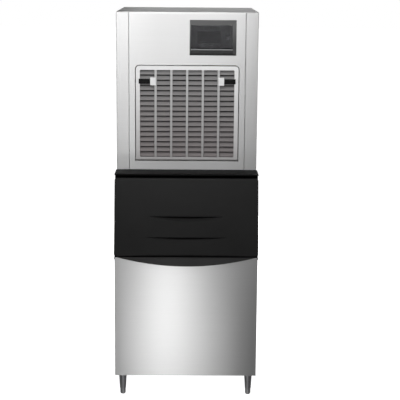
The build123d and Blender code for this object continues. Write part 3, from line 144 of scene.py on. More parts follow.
def addLathe(bm, profile, centre, axis, segments, closed=False):
    # profile is a list of (distance along the axis, radius)
    turn = Vector((0, 0, 1)).rotation_difference(Vector(axis)).to_matrix()
    rings = []
    for along, radius in profile:
        ring = []
        for step in range(segments):
            angle = 2 * pi * step / segments
            spot = turn @ Vector((radius * cos(angle), radius * sin(angle), along))
            ring.append(bm.verts.new(spot + Vector(centre)))
        rings.append(ring)
    joinRings(bm, rings, closed)


def addBlock(bm, low, high, bevel=0.0):
    corners = bmesh.ops.create_cube(bm, size=1.0)["verts"]
    size = [b - a for a, b in zip(low, high)]
    middle = [(a + b) / 2 for a, b in zip(low, high)]
    bmesh.ops.scale(bm, vec=size, verts=corners)
    bmesh.ops.translate(bm, vec=middle, verts=corners)
    if bevel:
        edges = [edge for edge in bm.edges if edge.verts[0] in corners and edge.verts[1] in corners]
        bmesh.ops.bevel(bm, geom=edges, offset=bevel, segments=2, affect="EDGES", profile=0.5)


# Stainless 304 sheet, number 4 brushed: horizontal grit lines that smear light upwards
brushed = {
    "colours": ((0.3, "C0C0C0"), (0.7, "C9C9C9")), "roughness": 0.44, "roughShift": 0.05,
    "anisotropy": 0.9, "anisotropyTurn": 0.25,
    "gritMm": 0.5, "gritRunMm": 80, "gritShare": 0.5, "gritDeepMm": 0.02, "gritStrength": 0.3,
    "bandMm": 5, "bandRunMm": 300, "bandShare": (0.18, 0.32),
    "waveMm": 260, "waveDeepMm": 0.5, "waveStrength": 0.25,
}


def makeBrushedSteel(name, anisotropy):
    material, tree, shader, place = startMaterial(name, {
        "Metallic": 1.0, "Roughness": brushed["roughness"],
        "Anisotropic": anisotropy, "Anisotropic Rotation": brushed["anisotropyTurn"],
    })
    # grit lines are 0.2 mm wide, drawn 0.5 mm wide so that they show
    along, across = perMetre(brushed["gritRunMm"]), perMetre(brushed["gritMm"])
    lines = addNode(tree, "ShaderNodeMapping", {"Scale": (along, along, across)}, {"Vector": place})
    grit = addNode(tree, "ShaderNodeTexNoise", {"Scale": 1.0, "Detail": 3.0, "Roughness": 0.6},
                   {"Vector": lines.outputs[0]}).outputs["Fac"]
    along, across = perMetre(brushed["bandRunMm"]), perMetre(brushed["bandMm"])
    bands = addNode(tree, "ShaderNodeMapping", {"Scale": (along, along, across)}, {"Vector": place})
    streak = addNode(tree, "ShaderNodeTexNoise", {"Scale": 1.0, "Detail": 2.0},
                     {"Vector": bands.outputs[0]}).outputs["Fac"]
    faintest, strongest = brushed["bandShare"]
    share = addNode(tree, "ShaderNodeMapRange", {"To Min": faintest, "To Max": strongest},
                    {"Value": streak}).outputs["Result"]
    mixed = addNode(tree, "ShaderNodeMath", {"operation": "MULTIPLY_ADD", 1: brushed["gritShare"]},
                    {0: grit, 2: share}).outputs[0]
    shift = brushed["roughShift"]
    dressShader(tree, shader, (mixed, brushed["colours"]),
                (mixed, brushed["roughness"] - shift, brushed["roughness"] + shift))
    # the sheet is a little wavy, as pressed sheet is
    wave = addNode(tree, "ShaderNodeTexNoise", {"Scale": perMetre(brushed["waveMm"]), "Detail": 1.0},
                   {"Vector": place}).outputs["Fac"]
    settings = {"Distance": brushed["waveDeepMm"] / 1000, "Strength": brushed["waveStrength"]}
    wavy = addNode(tree, "ShaderNodeBump", settings, {"Height": wave}).outputs["Normal"]
    settings = {"Distance": brushed["gritDeepMm"] / 1000, "Strength": brushed["gritStrength"]}
    grooved = addNode(tree, "ShaderNodeBump", settings, {"Height": grit, "Normal": wavy}).outputs["Normal"]
    tree.links.new(grooved, shader.inputs["Normal"])
    if anisotropy:
        around = addNode(tree, "ShaderNodeTangent", {"direction_type": "RADIAL", "axis": "Z"})
        tree.links.new(around.outputs[0], shader.inputs["Tangent"])
    return material


# Galvanised sheet, hot dipped: zinc crystals 7 mm across, dull and bluish
zinc = {
    "colours": ((0.1, "969A9D"), (0.9, "A8ACAF")), "metallic": 0.85, "roughness": (0.42, 0.53),
    "crystalMm": 7, "grainMm": 2, "grainDeepMm": 0.05, "grainStrength": 0.4,
}


def makeGalvanised():
    settings = {"Metallic": zinc["metallic"], "Roughness": 0.5}
    material, tree, shader, place = startMaterial("galvanisedSteelDipped", settings)
    cells = addNode(tree, "ShaderNodeTexVoronoi", {"Scale": perMetre(zinc["crystalMm"])}, {"Vector": place})
    shade = addNode(tree, "ShaderNodeSeparateColor", links={"Color": cells.outputs["Color"]}).outputs[0]
    cloud = addNode(tree, "ShaderNodeTexNoise", {"Scale": perMetre(zinc["grainMm"]), "Detail": 4.0},
                    {"Vector": place}).outputs["Fac"]
    dressShader(tree, shader, (shade, zinc["colours"]), (shade, *zinc["roughness"]),
                (cloud, zinc["grainDeepMm"], zinc["grainStrength"]))
    return material


# Moulded plastic of any colour: spark-eroded grain and slight flow marks
moulded = {
    "stops": (0.3, 0.7), "ior": 1.5, "coatRoughness": 0.08, "flowMm": 140,
    "duller": 0.06, "glossier": 0.04, "grainStrength": 0.6,
}


def makeMoulded(name, hexes, roughness, grainMm=0.8, depthMm=0.03, coat=0.0, specular=0.5):
    material, tree, shader, place = startMaterial(name, {
        "Roughness": roughness, "IOR": moulded["ior"], "Coat Weight": coat,
        "Coat Roughness": moulded["coatRoughness"], "Specular IOR Level": specular,
    })
    settings = {"Scale": perMetre(grainMm), "Detail": 3.0, "Roughness": 0.55}
    grain = addNode(tree, "ShaderNodeTexNoise", settings, {"Vector": place}).outputs["Fac"]
    settings = {"Scale": perMetre(moulded["flowMm"]), "Detail": 4.0}
    flow = addNode(tree, "ShaderNodeTexNoise", settings, {"Vector": place}).outputs["Fac"]
    dressShader(tree, shader, (flow, zip(moulded["stops"], hexes)),
                (flow, roughness - moulded["glossier"], roughness + moulded["duller"]),
                (grain, depthMm, moulded["grainStrength"]))
    return material


# ABS, moulded in pale grey: a pale frame, with the bars and louvres behind it painted darker as painted shade
# and made rougher, random dusty tone over all, and all of it painted darker lower down as painted shade
grillePlastic = {
    "frameColours": ((0.0, "BFBDBD"), (1.0, "ECECEC")), "barShadedColours": ((0.0, "A2A0A0"), (1.0, "BCBCBC")),
    "louvreShadedColours": ((0.0, "827C7C"), (1.0, "868585")),
    "foot": 0.94, "head": 1.26, "frameBack": -0.2027, "barBack": -0.1995, "fadeMm": 0.5,
    "roughness": 0.42, "dustRoughness": 0.75, "dustMm": 60, "dustShift": 0.1,
    "grainMm": 0.6, "grainDeepMm": 0.02, "grainStrength": 0.6,
}


def makeGrillePlastic():
    settings = {"Roughness": grillePlastic["roughness"]}
    material, tree, shader, place = startMaterial("absSatinPaleGrey", settings)
    axes = addNode(tree, "ShaderNodeSeparateXYZ", links={0: place})
    # painted shade: darker towards the foot, paler towards the top where the light falls
    upward = addNode(tree, "ShaderNodeMapRange", {
        "From Min": grillePlastic["foot"], "From Max": grillePlastic["head"],
    }, {"Value": axes.outputs["Z"]}).outputs["Result"]
    settings = {"Scale": perMetre(grillePlastic["dustMm"]), "Detail": 4.0}
    cloud = addNode(tree, "ShaderNodeTexNoise", settings, {"Vector": place}).outputs["Fac"]
    settings = {"To Min": -grillePlastic["dustShift"], "To Max": grillePlastic["dustShift"]}
    dust = addNode(tree, "ShaderNodeMapRange", settings, {"Value": cloud}).outputs["Result"]
    paintedLightAndDust = addNode(tree, "ShaderNodeMath", {"operation": "ADD"}, {0: upward, 1: dust}).outputs[0]
    # painted shade: the bars behind the frame's face, and the louvres behind the bars' face, are drawn darker
    paintedShadeBehind = {}
    for name in ("frameBack", "barBack"):
        paintedShadeBehind[name] = addNode(tree, "ShaderNodeMapRange", {
            "From Min": grillePlastic[name], "From Max": grillePlastic[name] + grillePlastic["fadeMm"] / 1000,
        }, {"Value": axes.outputs["Y"]}).outputs["Result"]
    tones = []
    for name in ("frameColours", "barShadedColours", "louvreShadedColours"):
        tone = addNode(tree, "ShaderNodeValToRGB", links={"Fac": paintedLightAndDust}, ramp=grillePlastic[name])
        tones.append(tone.outputs["Color"])
    # sockets 6 and 7 of a colour Mix are its two colours, and 2 is the mixed one
    front = addNode(tree, "ShaderNodeMix", {"data_type": "RGBA"},
                    {0: paintedShadeBehind["frameBack"], 6: tones[0], 7: tones[1]}).outputs[2]
    whole = addNode(tree, "ShaderNodeMix", {"data_type": "RGBA"},
                    {0: paintedShadeBehind["barBack"], 6: front, 7: tones[2]}).outputs[2]
    tree.links.new(whole, shader.inputs["Base Color"])
    settings = {"Scale": perMetre(grillePlastic["grainMm"]), "Detail": 3.0}
    grain = addNode(tree, "ShaderNodeTexNoise", settings, {"Vector": place}).outputs["Fac"]
    dressShader(tree, shader, None,
                (paintedShadeBehind["barBack"], grillePlastic["roughness"], grillePlastic["dustRoughness"]),
                (grain, grillePlastic["grainDeepMm"], grillePlastic["grainStrength"]))
    return material


# ABS, moulded in graphite: satin, painted paler towards the top as painted light and darker towards the foot
# as painted shade
bezelPlastic = {
    "colours": ((0.05, "161616"), (0.95, "5C5C5C")), "fadeFrom": 1.37, "fadeTo": 1.462,
    "roughness": (0.36, 0.46), "grainMm": 0.8, "grainDeepMm": 0.03, "grainStrength": 0.6,
}


def makeBezelPlastic():
    material, tree, shader, place = startMaterial("absGraphitePaintedLight", {"Roughness": 0.4})
    settings = {"Scale": perMetre(bezelPlastic["grainMm"]), "Detail": 3.0}
    grain = addNode(tree, "ShaderNodeTexNoise", settings, {"Vector": place}).outputs["Fac"]
    height = addNode(tree, "ShaderNodeSeparateXYZ", links={0: place}).outputs["Z"]
    # painted light and shade: paler towards the top, darker at the foot
    share = addNode(tree, "ShaderNodeMapRange", {
        "From Min": bezelPlastic["fadeFrom"], "From Max": bezelPlastic["fadeTo"],
    }, {"Value": height}).outputs["Result"]
    dressShader(tree, shader, (share, bezelPlastic["colours"]), (grain, *bezelPlastic["roughness"]),
                (grain, bezelPlastic["grainDeepMm"], bezelPlastic["grainStrength"]))
    return material


# Nylon filter cloth, woven: a dark ground, drawn paler towards the foot. The real threads are
# 1.6 mm apart, drawn 3.16 mm apart so that they show.
filterCloth = {
    "darkHeadColours": ((0.35, "0C0C0D"), (0.95, "393636")),
    "paleFootColours": ((0.35, "5A5656"), (0.95, "7C7676")),
    "foot": 0.97, "head": 1.17, "roughness": 0.75,
    "threadMm": 3.16, "threadDeepMm": 0.4, "threadStrength": 0.7,
}


def makeFilterCloth():
    settings = {"Roughness": filterCloth["roughness"]}
    material, tree, shader, place = startMaterial("nylonMeshWoven", settings)
    threads = []
    for direction in ("X", "Z"):
        settings = {"bands_direction": direction, "Scale": perMetre(filterCloth["threadMm"]) * bandsApart}
        threads.append(addNode(tree, "ShaderNodeTexWave", settings, {"Vector": place}).outputs["Fac"])
    weave = addNode(tree, "ShaderNodeMath", {"operation": "MAXIMUM"},
                    {0: threads[0], 1: threads[1]}).outputs[0]
    tones = []
    for name in ("paleFootColours", "darkHeadColours"):
        tone = addNode(tree, "ShaderNodeValToRGB", links={"Fac": weave}, ramp=filterCloth[name])
        tones.append(tone.outputs["Color"])
    # drawn paler towards the foot and darker towards the top
    height = addNode(tree, "ShaderNodeSeparateXYZ", links={0: place}).outputs["Z"]
    upward = addNode(tree, "ShaderNodeMapRange", {
        "From Min": filterCloth["foot"], "From Max": filterCloth["head"],
    }, {"Value": height}).outputs["Result"]
    both = addNode(tree, "ShaderNodeMix", {"data_type": "RGBA"},
                   {0: upward, 6: tones[0], 7: tones[1]}).outputs[2]
    tree.links.new(both, shader.inputs["Base Color"])
    relief = (weave, filterCloth["threadDeepMm"], filterCloth["threadStrength"])
    dressShader(tree, shader, relief=relief)
    return material


# Smoked polycarbonate, cast and polished: see-through grey with a hard gloss
smoked = {
    "colours": ((0.3, "B2B2B5"), (0.7, "BABABD")), "ior": 1.58, "clear": 0.98,
    "roughness": (0.04, 0.12), "hazeMm": 30,
}


def makeSmoked():
    material, tree, shader, place = startMaterial("polycarbonateSmoked", {
        "Roughness": 0.06, "IOR": smoked["ior"], "Transmission Weight": smoked["clear"],
    })
    settings = {"Scale": perMetre(smoked["hazeMm"]), "Detail": 3.0}
    haze = addNode(tree, "ShaderNodeTexNoise", settings, {"Vector": place}).outputs["Fac"]
    dressShader(tree, shader, (haze, smoked["colours"]), (haze, *smoked["roughness"]))
    return material


# Aluminium strip, rolled into fins: fine bright lines with painted shade between them for the dark gaps
# between fins. Real fins are 2 mm apart, drawn 3.95 mm apart so that they show.
coilFins = {
    "colours": ((0.2, "3C3D3E"), (0.7, "B9BBBC")), "roughness": (0.3, 0.5),
    "finMm": 3.95, "finDeepMm": 0.8, "finStrength": 0.8, "stainMm": 25,
}


def makeFins():
    material, tree, shader, place = startMaterial("aluminiumFinsRolled", {"Metallic": 1.0, "Roughness": 0.35})
    settings = {"bands_direction": "X", "Scale": perMetre(coilFins["finMm"]) * bandsApart}
    fins = addNode(tree, "ShaderNodeTexWave", settings, {"Vector": place}).outputs["Fac"]
    settings = {"Scale": perMetre(coilFins["stainMm"]), "Detail": 3.0}
    stain = addNode(tree, "ShaderNodeTexNoise", settings, {"Vector": place}).outputs["Fac"]
    # painted shade: the wave bands draw the gaps between fins dark
    dressShader(tree, shader, (fins, coilFins["colours"]), (stain, *coilFins["roughness"]),
                (fins, coilFins["finDeepMm"], coilFins["finStrength"]))
    return material


# Polyurethane foam, poured: pale yellow with closed cells 1.5 mm across
foam = {
    "colours": ((0.1, "C9BD93"), (0.7, "DDD3AE")), "ior": 1.45, "roughness": 0.9,
    "cellMm": 1.5, "cellDeepMm": 0.5, "cellStrength": 0.7,
}


def makeFoam():
    settings = {"Roughness": foam["roughness"], "IOR": foam["ior"]}
    material, tree, shader, place = startMaterial("polyurethaneFoamPoured", settings)
    settings = {"Scale": perMetre(foam["cellMm"])}
    cells = addNode(tree, "ShaderNodeTexVoronoi", settings, {"Vector": place}).outputs["Distance"]
    relief = (cells, foam["cellDeepMm"], foam["cellStrength"])
    dressShader(tree, shader, (cells, foam["colours"]), relief=relief)
    return material


# Painted or bare metal with a cast, turned or plated skin
metalSkin = {
    "stops": (0.3, 0.7), "coatRoughness": 0.1, "patchMm": 30,
    "duller": 0.08, "glossier": 0.06, "grainStrength": 0.5,
}


def makeMetal(name, hexes, roughness, metallic=1.0, grainMm=1.0, depthMm=0.03, stretch=(1, 1, 1), coat=0.0):
    material, tree, shader, place = startMaterial(name, {
        "Metallic": metallic, "Roughness": roughness,
        "Coat Weight": coat, "Coat Roughness": metalSkin["coatRoughness"],
    })
    scale = [perMetre(grainMm) * share for share in stretch]
    mapped = addNode(tree, "ShaderNodeMapping", {"Scale": scale}, {"Vector": place})
    grain = addNode(tree, "ShaderNodeTexNoise", {"Scale": 1.0, "Detail": 4.0},
                    {"Vector": mapped.outputs[0]}).outputs["Fac"]
    settings = {"Scale": perMetre(metalSkin["patchMm"]), "Detail": 3.0}
    patch = addNode(tree, "ShaderNodeTexNoise", settings, {"Vector": place}).outputs["Fac"]
    dressShader(tree, shader, (patch, zip(metalSkin["stops"], hexes)),
                (patch, roughness - metalSkin["glossier"], roughness + metalSkin["duller"]),
                (grain, depthMm, metalSkin["grainStrength"]))
    return material


# The finish of each material slot of the record
finishes = {
    "brushed_steel": makeBrushedSteel("stainlessSteelBrushed", brushed["anisotropy"]),
    "galvanised_steel": makeGalvanised(),
    # ABS, moulded and grained: near black with a soft sheen
    "black_moulding": makeMoulded("absGrainedBlack", ("131313", "181818"), 0.5,
                                  grainMm=0.9, depthMm=0.04, specular=0.2),
    "grille_plastic": makeGrillePlastic(),
    "filter_mesh": makeFilterCloth(),
    "smoked_plastic": makeSmoked(),
    # ABS, polished in the mould: deep black with sharp lights
    "black_gloss": makeMoulded("absPolishedBlack", ("0E0E0E", "121212"), 0.2,
                               grainMm=1.5, depthMm=0.01, coat=0.4),
    # Nylon, moulded: mid grey and waxy
    "button_plastic": makeMoulded("nylonMouldedGrey", ("747576", "7E7F80"), 0.35, grainMm=0.7, depthMm=0.02),
    # Acrylic, tinted and polished: dull green until lit
    "indicator_lens": makeMoulded("acrylicTintedGreen", ("2C5A35", "356A3F"), 0.1,
                                  grainMm=2.0, depthMm=0.005, coat=0.5),
    # Polyethylene, rotation moulded: cool white and waxy
    "liner_plastic": makeMoulded("polyethyleneMouldedWhite", ("D5D9DC", "DDE0E2"), 0.38,
                                 grainMm=2.5, depthMm=0.04),
    "foam": makeFoam(),
    # EPDM rubber, extruded: matt black with a dusty bloom
    "seal_rubber": makeMoulded("epdmExtrudedBlack", ("1A1A1A", "232323"), 0.7, grainMm=0.5, depthMm=0.02),
    # Mild steel, nickel plated: grey metal with soft, broad lights
    "leg_steel": makeMetal("steelNickelPlated", ("B0B0B2", "BEBEC0"), 0.45, grainMm=3.0),
    "aluminium_fins": makeFins(),
    # Mild steel, enamelled black: orange-peel gloss
    "compressor_paint": makeMetal("steelEnamelledBlack", ("101010", "171717"), 0.3,
                                  metallic=0.0, grainMm=1.5, depthMm=0.05, coat=0.5),
    # Grey iron, sand cast and painted: rough and flat
    "cast_housing": makeMetal("ironCastPaintedGrey", ("4C4E50", "5A5C5E"), 0.6,
                              metallic=0.2, grainMm=1.2, depthMm=0.15),
    # Stainless steel, turned: bright rings round the upright axis
    "auger_steel": makeMetal("stainlessSteelTurned", ("B4B4B4", "C4C4C4"), 0.25,
                             grainMm=0.6, depthMm=0.02, stretch=(0.1, 0.1, 1)),
    # Polypropylene, moulded: milky white
    "white_plastic": makeMoulded("polypropyleneMouldedWhite", ("D9D9D6", "E1E1DE"), 0.4,
                                 grainMm=1.5, depthMm=0.02),
    # Brass, machined from bar: yellow with fine streaks along the bar
    "brass_fitting": makeMetal("brassMachined", ("B08D4A", "C39F58"), 0.25,
                               grainMm=0.5, depthMm=0.02, stretch=(1, 0.2, 1)),
}
# Nodes whose skin differs a little from the rest of their slot
nodeFinishes = {
    # stainless lid sheets, bead blasted: the same grey with no direction, so the light doesn't smear
    "head_top_panel": makeBrushedSteel("stainlessSteelSatin", 0.0),
    "bin_top_plate": makeBrushedSteel("stainlessSteelSatinPlate", 0.0),
    # ABS, moulded with a finer grain: black painted darker than the other black mouldings as painted shade,
    # with little sheen
    "door_frame": makeMoulded("absFineGrainedBlackPaintedShade", ("070707", "0B0B0B"), 0.6, grainMm=0.6, specular=0.08),
    # ABS, moulded: black painted charcoal, lighter than the door above, as painted light on the lip's
    # upward-facing top, with a faint sheen
    "sill_lip": makeMoulded("absCharcoalPaintedLight", ("3A3A3A", "424242"), 0.45, grainMm=0.9, specular=0.3),
    # ABS, moulded and satin: dark grey plate behind the window
    "control_plate": makeMoulded("absSatinDarkGrey", ("606060", "6C6C6C"), 0.5, depthMm=0.02),
    "control_bezel": makeBezelPlastic(),
    # ABS, moulded and satin: mid grey box behind the grille, painted paler as painted light so that the
    # shadowed gap round the grille reads light
    "filter_surround": makeMoulded("absSatinMidGreyPaintedLight", ("8A8888", "929090"), 0.5, depthMm=0.02),
}
for part in record["subparts"]:
    node = frame["nodes"][part["node"]]
    for item in node.material_slots:
        item.material = nodeFinishes.get(part["node"], finishes[part["material_slot"]])
print("finishes made:", len(finishes) + len(nodeFinishes))

# Door seal: a pleated section swept round the door, mitred at its corners as a welded seal is.
# The side is half of the section, in mm: out from its middle, and away from the door.
doorSeal = {
    "halfWidth": 0.006,
    "side": [
        (6.0, 0.0), (6.0, 0.8), (4.6, 1.1), (5.7, 1.8), (4.6, 2.5),
        (5.2, 3.1), (4.6, 3.8), (3.4, 4.0), (1.2, 3.7),
    ],
}


def makeDoorSeal():
    solid = frame["nodes"]["door_gasket"].data
    out = Vector(max(solid.polygons, key=lambda face: face.area).normal)
    if out.y > 0:
        out = -out
    upSlope = out.cross(Vector((1, 0, 0)))
    acrossHalf = max(v.co.x for v in solid.vertices) - doorSeal["halfWidth"]
    along = [v.co @ upSlope for v in solid.vertices]
    middle = (min(along) + max(along)) / 2
    tallHalf = (max(along) - min(along)) / 2 - doorSeal["halfWidth"]
    doorSide = max(v.co @ out for v in solid.vertices)
    section = doorSeal["side"] + [(-w, t) for w, t in reversed(doorSeal["side"])]
    bm = bmesh.new()
    rings = []
    for sideways, upward in ((-1, -1), (1, -1), (1, 1), (-1, 1)):
        ring = []
        for w, t in section:
            x = sideways * (acrossHalf + w / 1000)
            u = middle + upward * (tallHalf + w / 1000)
            ring.append(bm.verts.new(Vector((x, 0, 0)) + upSlope * u + out * (doorSide - t / 1000)))
        rings.append(ring)
    joinRings(bm, rings, closed=True)
    piece = meshPiece("doorSeal", bm, finishes["seal_rubber"], "bin_door", smoothDegrees=50)
    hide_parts("door_gasket")


# Compressor mounts: waisted rubber bushes; the side is (height, radius) in mm
rubberMounts = {
    "inset": 0.012, "segments": 24,
    "side": [
        (0, 12), (2, 12), (3, 9.6), (5, 8.4), (6, 9.4), (7, 11),
        (8, 9.4), (9, 8.4), (11, 9.6), (12, 12), (14, 12),
    ],
}


def makeRubberMounts():
    low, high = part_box("compressor_mounts")
    inset = rubberMounts["inset"]
    side = [(a / 1000, r / 1000) for a, r in rubberMounts["side"]]
    bm = bmesh.new()
    for x in (low[0] + inset, high[0] - inset):
        for y in (low[1] + inset, high[1] - inset):
            addLathe(bm, side, (x, y, low[2]), (0, 0, 1), rubberMounts["segments"])
    piece = meshPiece("compressorBushes", bm, finishes["seal_rubber"], "cabinet")
    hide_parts("compressor_mounts")


# Rear slots: pressed hoods that shed water, open below. The section is in mm, (out, up);
# each end is (share of the half length, share of the depth).
rearHoods = {
    "columns": (-0.15, 0.0, 0.15), "rows": 9, "pitch": 0.022, "middle": 1.3017, "half": 0.062,
    "outer": [(0.0, 6.0), (2.6, 5.4), (4.6, 3.4), (5.6, 0.4), (5.8, -4.6)],
    "inner": [(5.1, -4.6), (4.9, 0.2), (4.0, 2.9), (2.2, 4.7), (0.0, 5.0)],
    "ends": [(1.0, 0.06), (0.975, 0.5), (0.94, 0.82), (0.88, 0.97), (0.8, 1.0)],
}


def makeRearHoods():
    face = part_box("head_rear_panel")[1][1]
    stations = [(-share, depth) for share, depth in rearHoods["ends"]]
    stations += [(share, depth) for share, depth in reversed(rearHoods["ends"])]
    section = rearHoods["outer"] + rearHoods["inner"]
    bm = bmesh.new()
    for middle in rearHoods["columns"]:
        for row in range(rearHoods["rows"]):
            z = rearHoods["middle"] + (row - (rearHoods["rows"] - 1) / 2) * rearHoods["pitch"]
            rings = []
            for share, depth in stations:
                x = middle + share * rearHoods["half"]
                rings.append([bm.verts.new((x, face + depth * a / 1000, z + b / 1000)) for a, b in section])
            joinRings(bm, rings)
    meshPiece("rearHoods", bm, finishes["galvanised_steel"], "cabinet", smoothDegrees=50)


# Water inlet: pipe thread on the stub; the crest is (share of the pitch, share of the height)
inletThread = {
    "x": 0.2, "z": 0.955, "start": 0.4012, "end": 0.4142,
    "radius": 0.0131, "height": 0.0007, "pitch": 0.0018,
    "crest": ((0.1, 0.0), (0.42, 1.0), (0.58, 1.0), (0.9, 0.0)), "steps": 32, "runOutSteps": 8,
}


def makeInletThread():
    bm = bmesh.new()
    pitch, steps = inletThread["pitch"], inletThread["steps"]
    turns = (inletThread["end"] - inletThread["start"] - pitch) / pitch
    total = int(turns * steps)
    rings = []
    for step in range(total + 1):
        angle = 2 * pi * step / steps
        y = inletThread["start"] + pitch * step / steps
        # the thread runs out at both ends
        fade = min(1.0, step / inletThread["runOutSteps"], (total - step) / inletThread["runOutSteps"])
        ring = []
        for along, rise in inletThread["crest"]:
            r = inletThread["radius"] + rise * fade * inletThread["height"]
            spot = (inletThread["x"] + r * cos(angle), y + along * pitch, inletThread["z"] + r * sin(angle))
            ring.append(bm.verts.new(spot))
        rings.append(ring)
    joinRings(bm, rings)
    meshPiece("inletThread", bm, finishes["brass_fitting"], "cabinet", smoothDegrees=40)


# Bin drain: barbs that hold the hose; the section is (along, radius) in mm
drainBarbs = {
    "z": 0.1525, "starts": (0.4015, 0.4055, 0.4095), "segments": 40,
    "section": [(0.0, 12.3), (0.0, 12.6), (3.2, 13.5), (3.6, 13.2), (3.6, 12.3)],
}


def makeDrainBarbs():
    section = [(a / 1000, r / 1000) for a, r in drainBarbs["section"]]
    bm = bmesh.new()
    for y in drainBarbs["starts"]:
        addLathe(bm, section, (0, y, drainBarbs["z"]), (0, 1, 0), drainBarbs["segments"], closed=True)
    meshPiece("drainBarbs", bm, finishes["white_plastic"], "cabinet")


# Window cover: a pale strip on the front of its handle lip, a painted highlight for the light that the lip's
# ridge catches
handleHighlightStrip = {
    "inset": 0.001, "tall": 0.0048, "proud": 0.00098, "sunk": 0.00042, "top": 0.0064, "bevel": 0.0005,
}


def makeHandleHighlightStrip():
    low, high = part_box("control_cover")
    z = low[2] + handleHighlightStrip["top"]
    near = (low[0] + handleHighlightStrip["inset"], low[1] - handleHighlightStrip["proud"], z - handleHighlightStrip["tall"])
    far = (high[0] - handleHighlightStrip["inset"], low[1] + handleHighlightStrip["sunk"], z)
    bm = bmesh.new()
    addBlock(bm, near, far, handleHighlightStrip["bevel"])
    meshPiece("coverHandleHighlight", bm, finishes["button_plastic"], "window_cover")


makeDoorSeal()
makeRubberMounts()
makeRearHoods()
makeInletThread()
makeDrainBarbs()
makeHandleHighlightStrip()
print("door seal, bushes, hoods, thread, barbs and handle strip made")

# Rear panel: pan-head screws with a cross recess, in two columns.
# The dome is (share of the height, share of the radius).
rearScrews = {
    "radius": 0.0045, "height": 0.0024, "rows": 5, "inset": 0.012, "margin": 0.03, "segments": 24,
    "dome": [(0.0, 1.0), (0.3, 1.0), (0.65, 0.9), (0.9, 0.66), (1.0, 0.34)],
    "recess": 0.0011, "recessReach": 0.6, "recessFloor": 0.4, "recessTop": 2,
}


def makeRearScrews():
    low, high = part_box("head_rear_panel")
    r, h = rearScrews["radius"], rearScrews["height"]
    foot, tall = low[2] + rearScrews["margin"], high[2] - low[2] - 2 * rearScrews["margin"]
    spots = []
    for x in (low[0] + rearScrews["inset"], high[0] - rearScrews["inset"]):
        for row in range(rearScrews["rows"]):
            spots.append((x, foot + tall * row / (rearScrews["rows"] - 1)))
    bm = bmesh.new()
    head = [(along * h, wide * r) for along, wide in rearScrews["dome"]]
    for x, z in spots:
        addLathe(bm, head, (x, high[1], z), (0, 1, 0), rearScrews["segments"])
    piece = meshPiece("rearPanelScrews", bm, finishes["leg_steel"], "cabinet")
    cutters = bmesh.new()
    half, reach = rearScrews["recess"] / 2, rearScrews["recessReach"] * r
    near, far = high[1] + rearScrews["recessFloor"] * h, high[1] + rearScrews["recessTop"] * h
    for x, z in spots:
        addBlock(cutters, (x - reach, near, z - half), (x + reach, far, z + half))
        addBlock(cutters, (x - half, near, z - reach), (x + half, far, z + reach))
    mesh = bpy.data.meshes.new("recessCutter")
    cutters.to_mesh(mesh)
    cutters.free()
    cutter = bpy.data.objects.new("recessCutter", mesh)
    bpy.context.scene.collection.objects.link(cutter)
    recess = piece.modifiers.new("recess", "BOOLEAN")
    recess.object = cutter
    recess.solver = "EXACT"
    recess.use_self = True
    bpy.context.view_layer.objects.active = piece
    bpy.ops.object.modifier_apply(modifier="recess")
    bpy.data.objects.remove(cutter)


makeRearScrews()
print("rear screws made")

# Studio: pale floor, bright surround for the camera and soft boxes
studio = {
    "floorHex": "F4F4F4", "floorRoughness": 0.9, "floorHalf": 30,
    "glowNear": 0.93, "glowFar": 1.1, "glowFrom": 0.4, "glowTo": 1.3,
    "surround": 0.05, "backdrop": 1.0,
}
lights = {
    "lowerNarrow": {"at": (-0.1, -1.45, 0.16), "aim": (-0.1, 0.0, 0.16), "size": (0.12, 0.3), "power": 1.6},
    "lowerRight": {"at": (-0.02, -1.45, 0.16), "aim": (-0.02, 0.0, 0.16), "size": (0.12, 0.3), "power": 0.6},
    "lowerWide": {"at": (-0.12, -1.45, 0.16), "aim": (-0.12, 0.0, 0.16), "size": (0.5, 0.3), "power": 0.5},
    "footLeft": {"at": (-0.22, -1.0, 0.1), "aim": (-0.22, 0.0, 0.1), "size": (0.15, 0.16), "power": 0.25},
    "footMiddle": {"at": (-0.06, -1.0, 0.1), "aim": (-0.06, 0.0, 0.1), "size": (0.15, 0.16), "power": 0.1},
    "footRight": {"at": (0.06, -1.0, 0.1), "aim": (0.06, 0.0, 0.1), "size": (0.3, 0.16), "power": 0.35},
    "headWide": {"at": (-0.1, -1.5, 1.6), "aim": (-0.1, -0.2, 1.4), "size": (0.9, 0.3), "power": 5.2},
    "headFront": {"at": (-0.45, -1.3, 1.5), "aim": (-0.25, -0.2, 1.4), "size": (0.4, 0.3), "power": 0.9},
    "headRight": {"at": (0.45, -1.6, 1.6), "aim": (0.3, -0.2, 1.4), "size": (0.4, 0.5), "power": 1.2},
    "headUpperLeft": {"at": (-0.4, -1.0, 2.1), "aim": (-0.2, -0.2, 1.45), "size": (0.5, 0.3), "power": 3.8},
    "headUpperRight": {"at": (0.15, -1.0, 2.1), "aim": (0.1, -0.2, 1.45), "size": (0.5, 0.3), "power": 2.8},
    "rear": {"at": (0.0, 2.8, 1.35), "aim": (0.0, 0.0, 0.9), "size": (1.0, 0.8), "power": 9},
    "overhead": {"at": (0.0, 0.9, 4.3), "aim": (0.0, 0.1, 1.5), "size": (1.6, 1.2), "power": 8},
}

# A ring of dim soft boxes for the sides and back; degrees are turned from the front
ring = {
    "angles": (65, 90, 115, 145, 175, 205, 235, 265, 295), "radius": 3.0, "height": 1.0,
    "aim": (0, 0, 0.75), "size": (1.3, 1.9), "power": 14,
}
for angle in ring["angles"]:
    spot = (ring["radius"] * sin(radians(angle)), -ring["radius"] * cos(radians(angle)), ring["height"])
    lights["ring" + str(angle)] = {
        "at": spot, "aim": ring["aim"], "size": ring["size"], "power": ring["power"],
    }


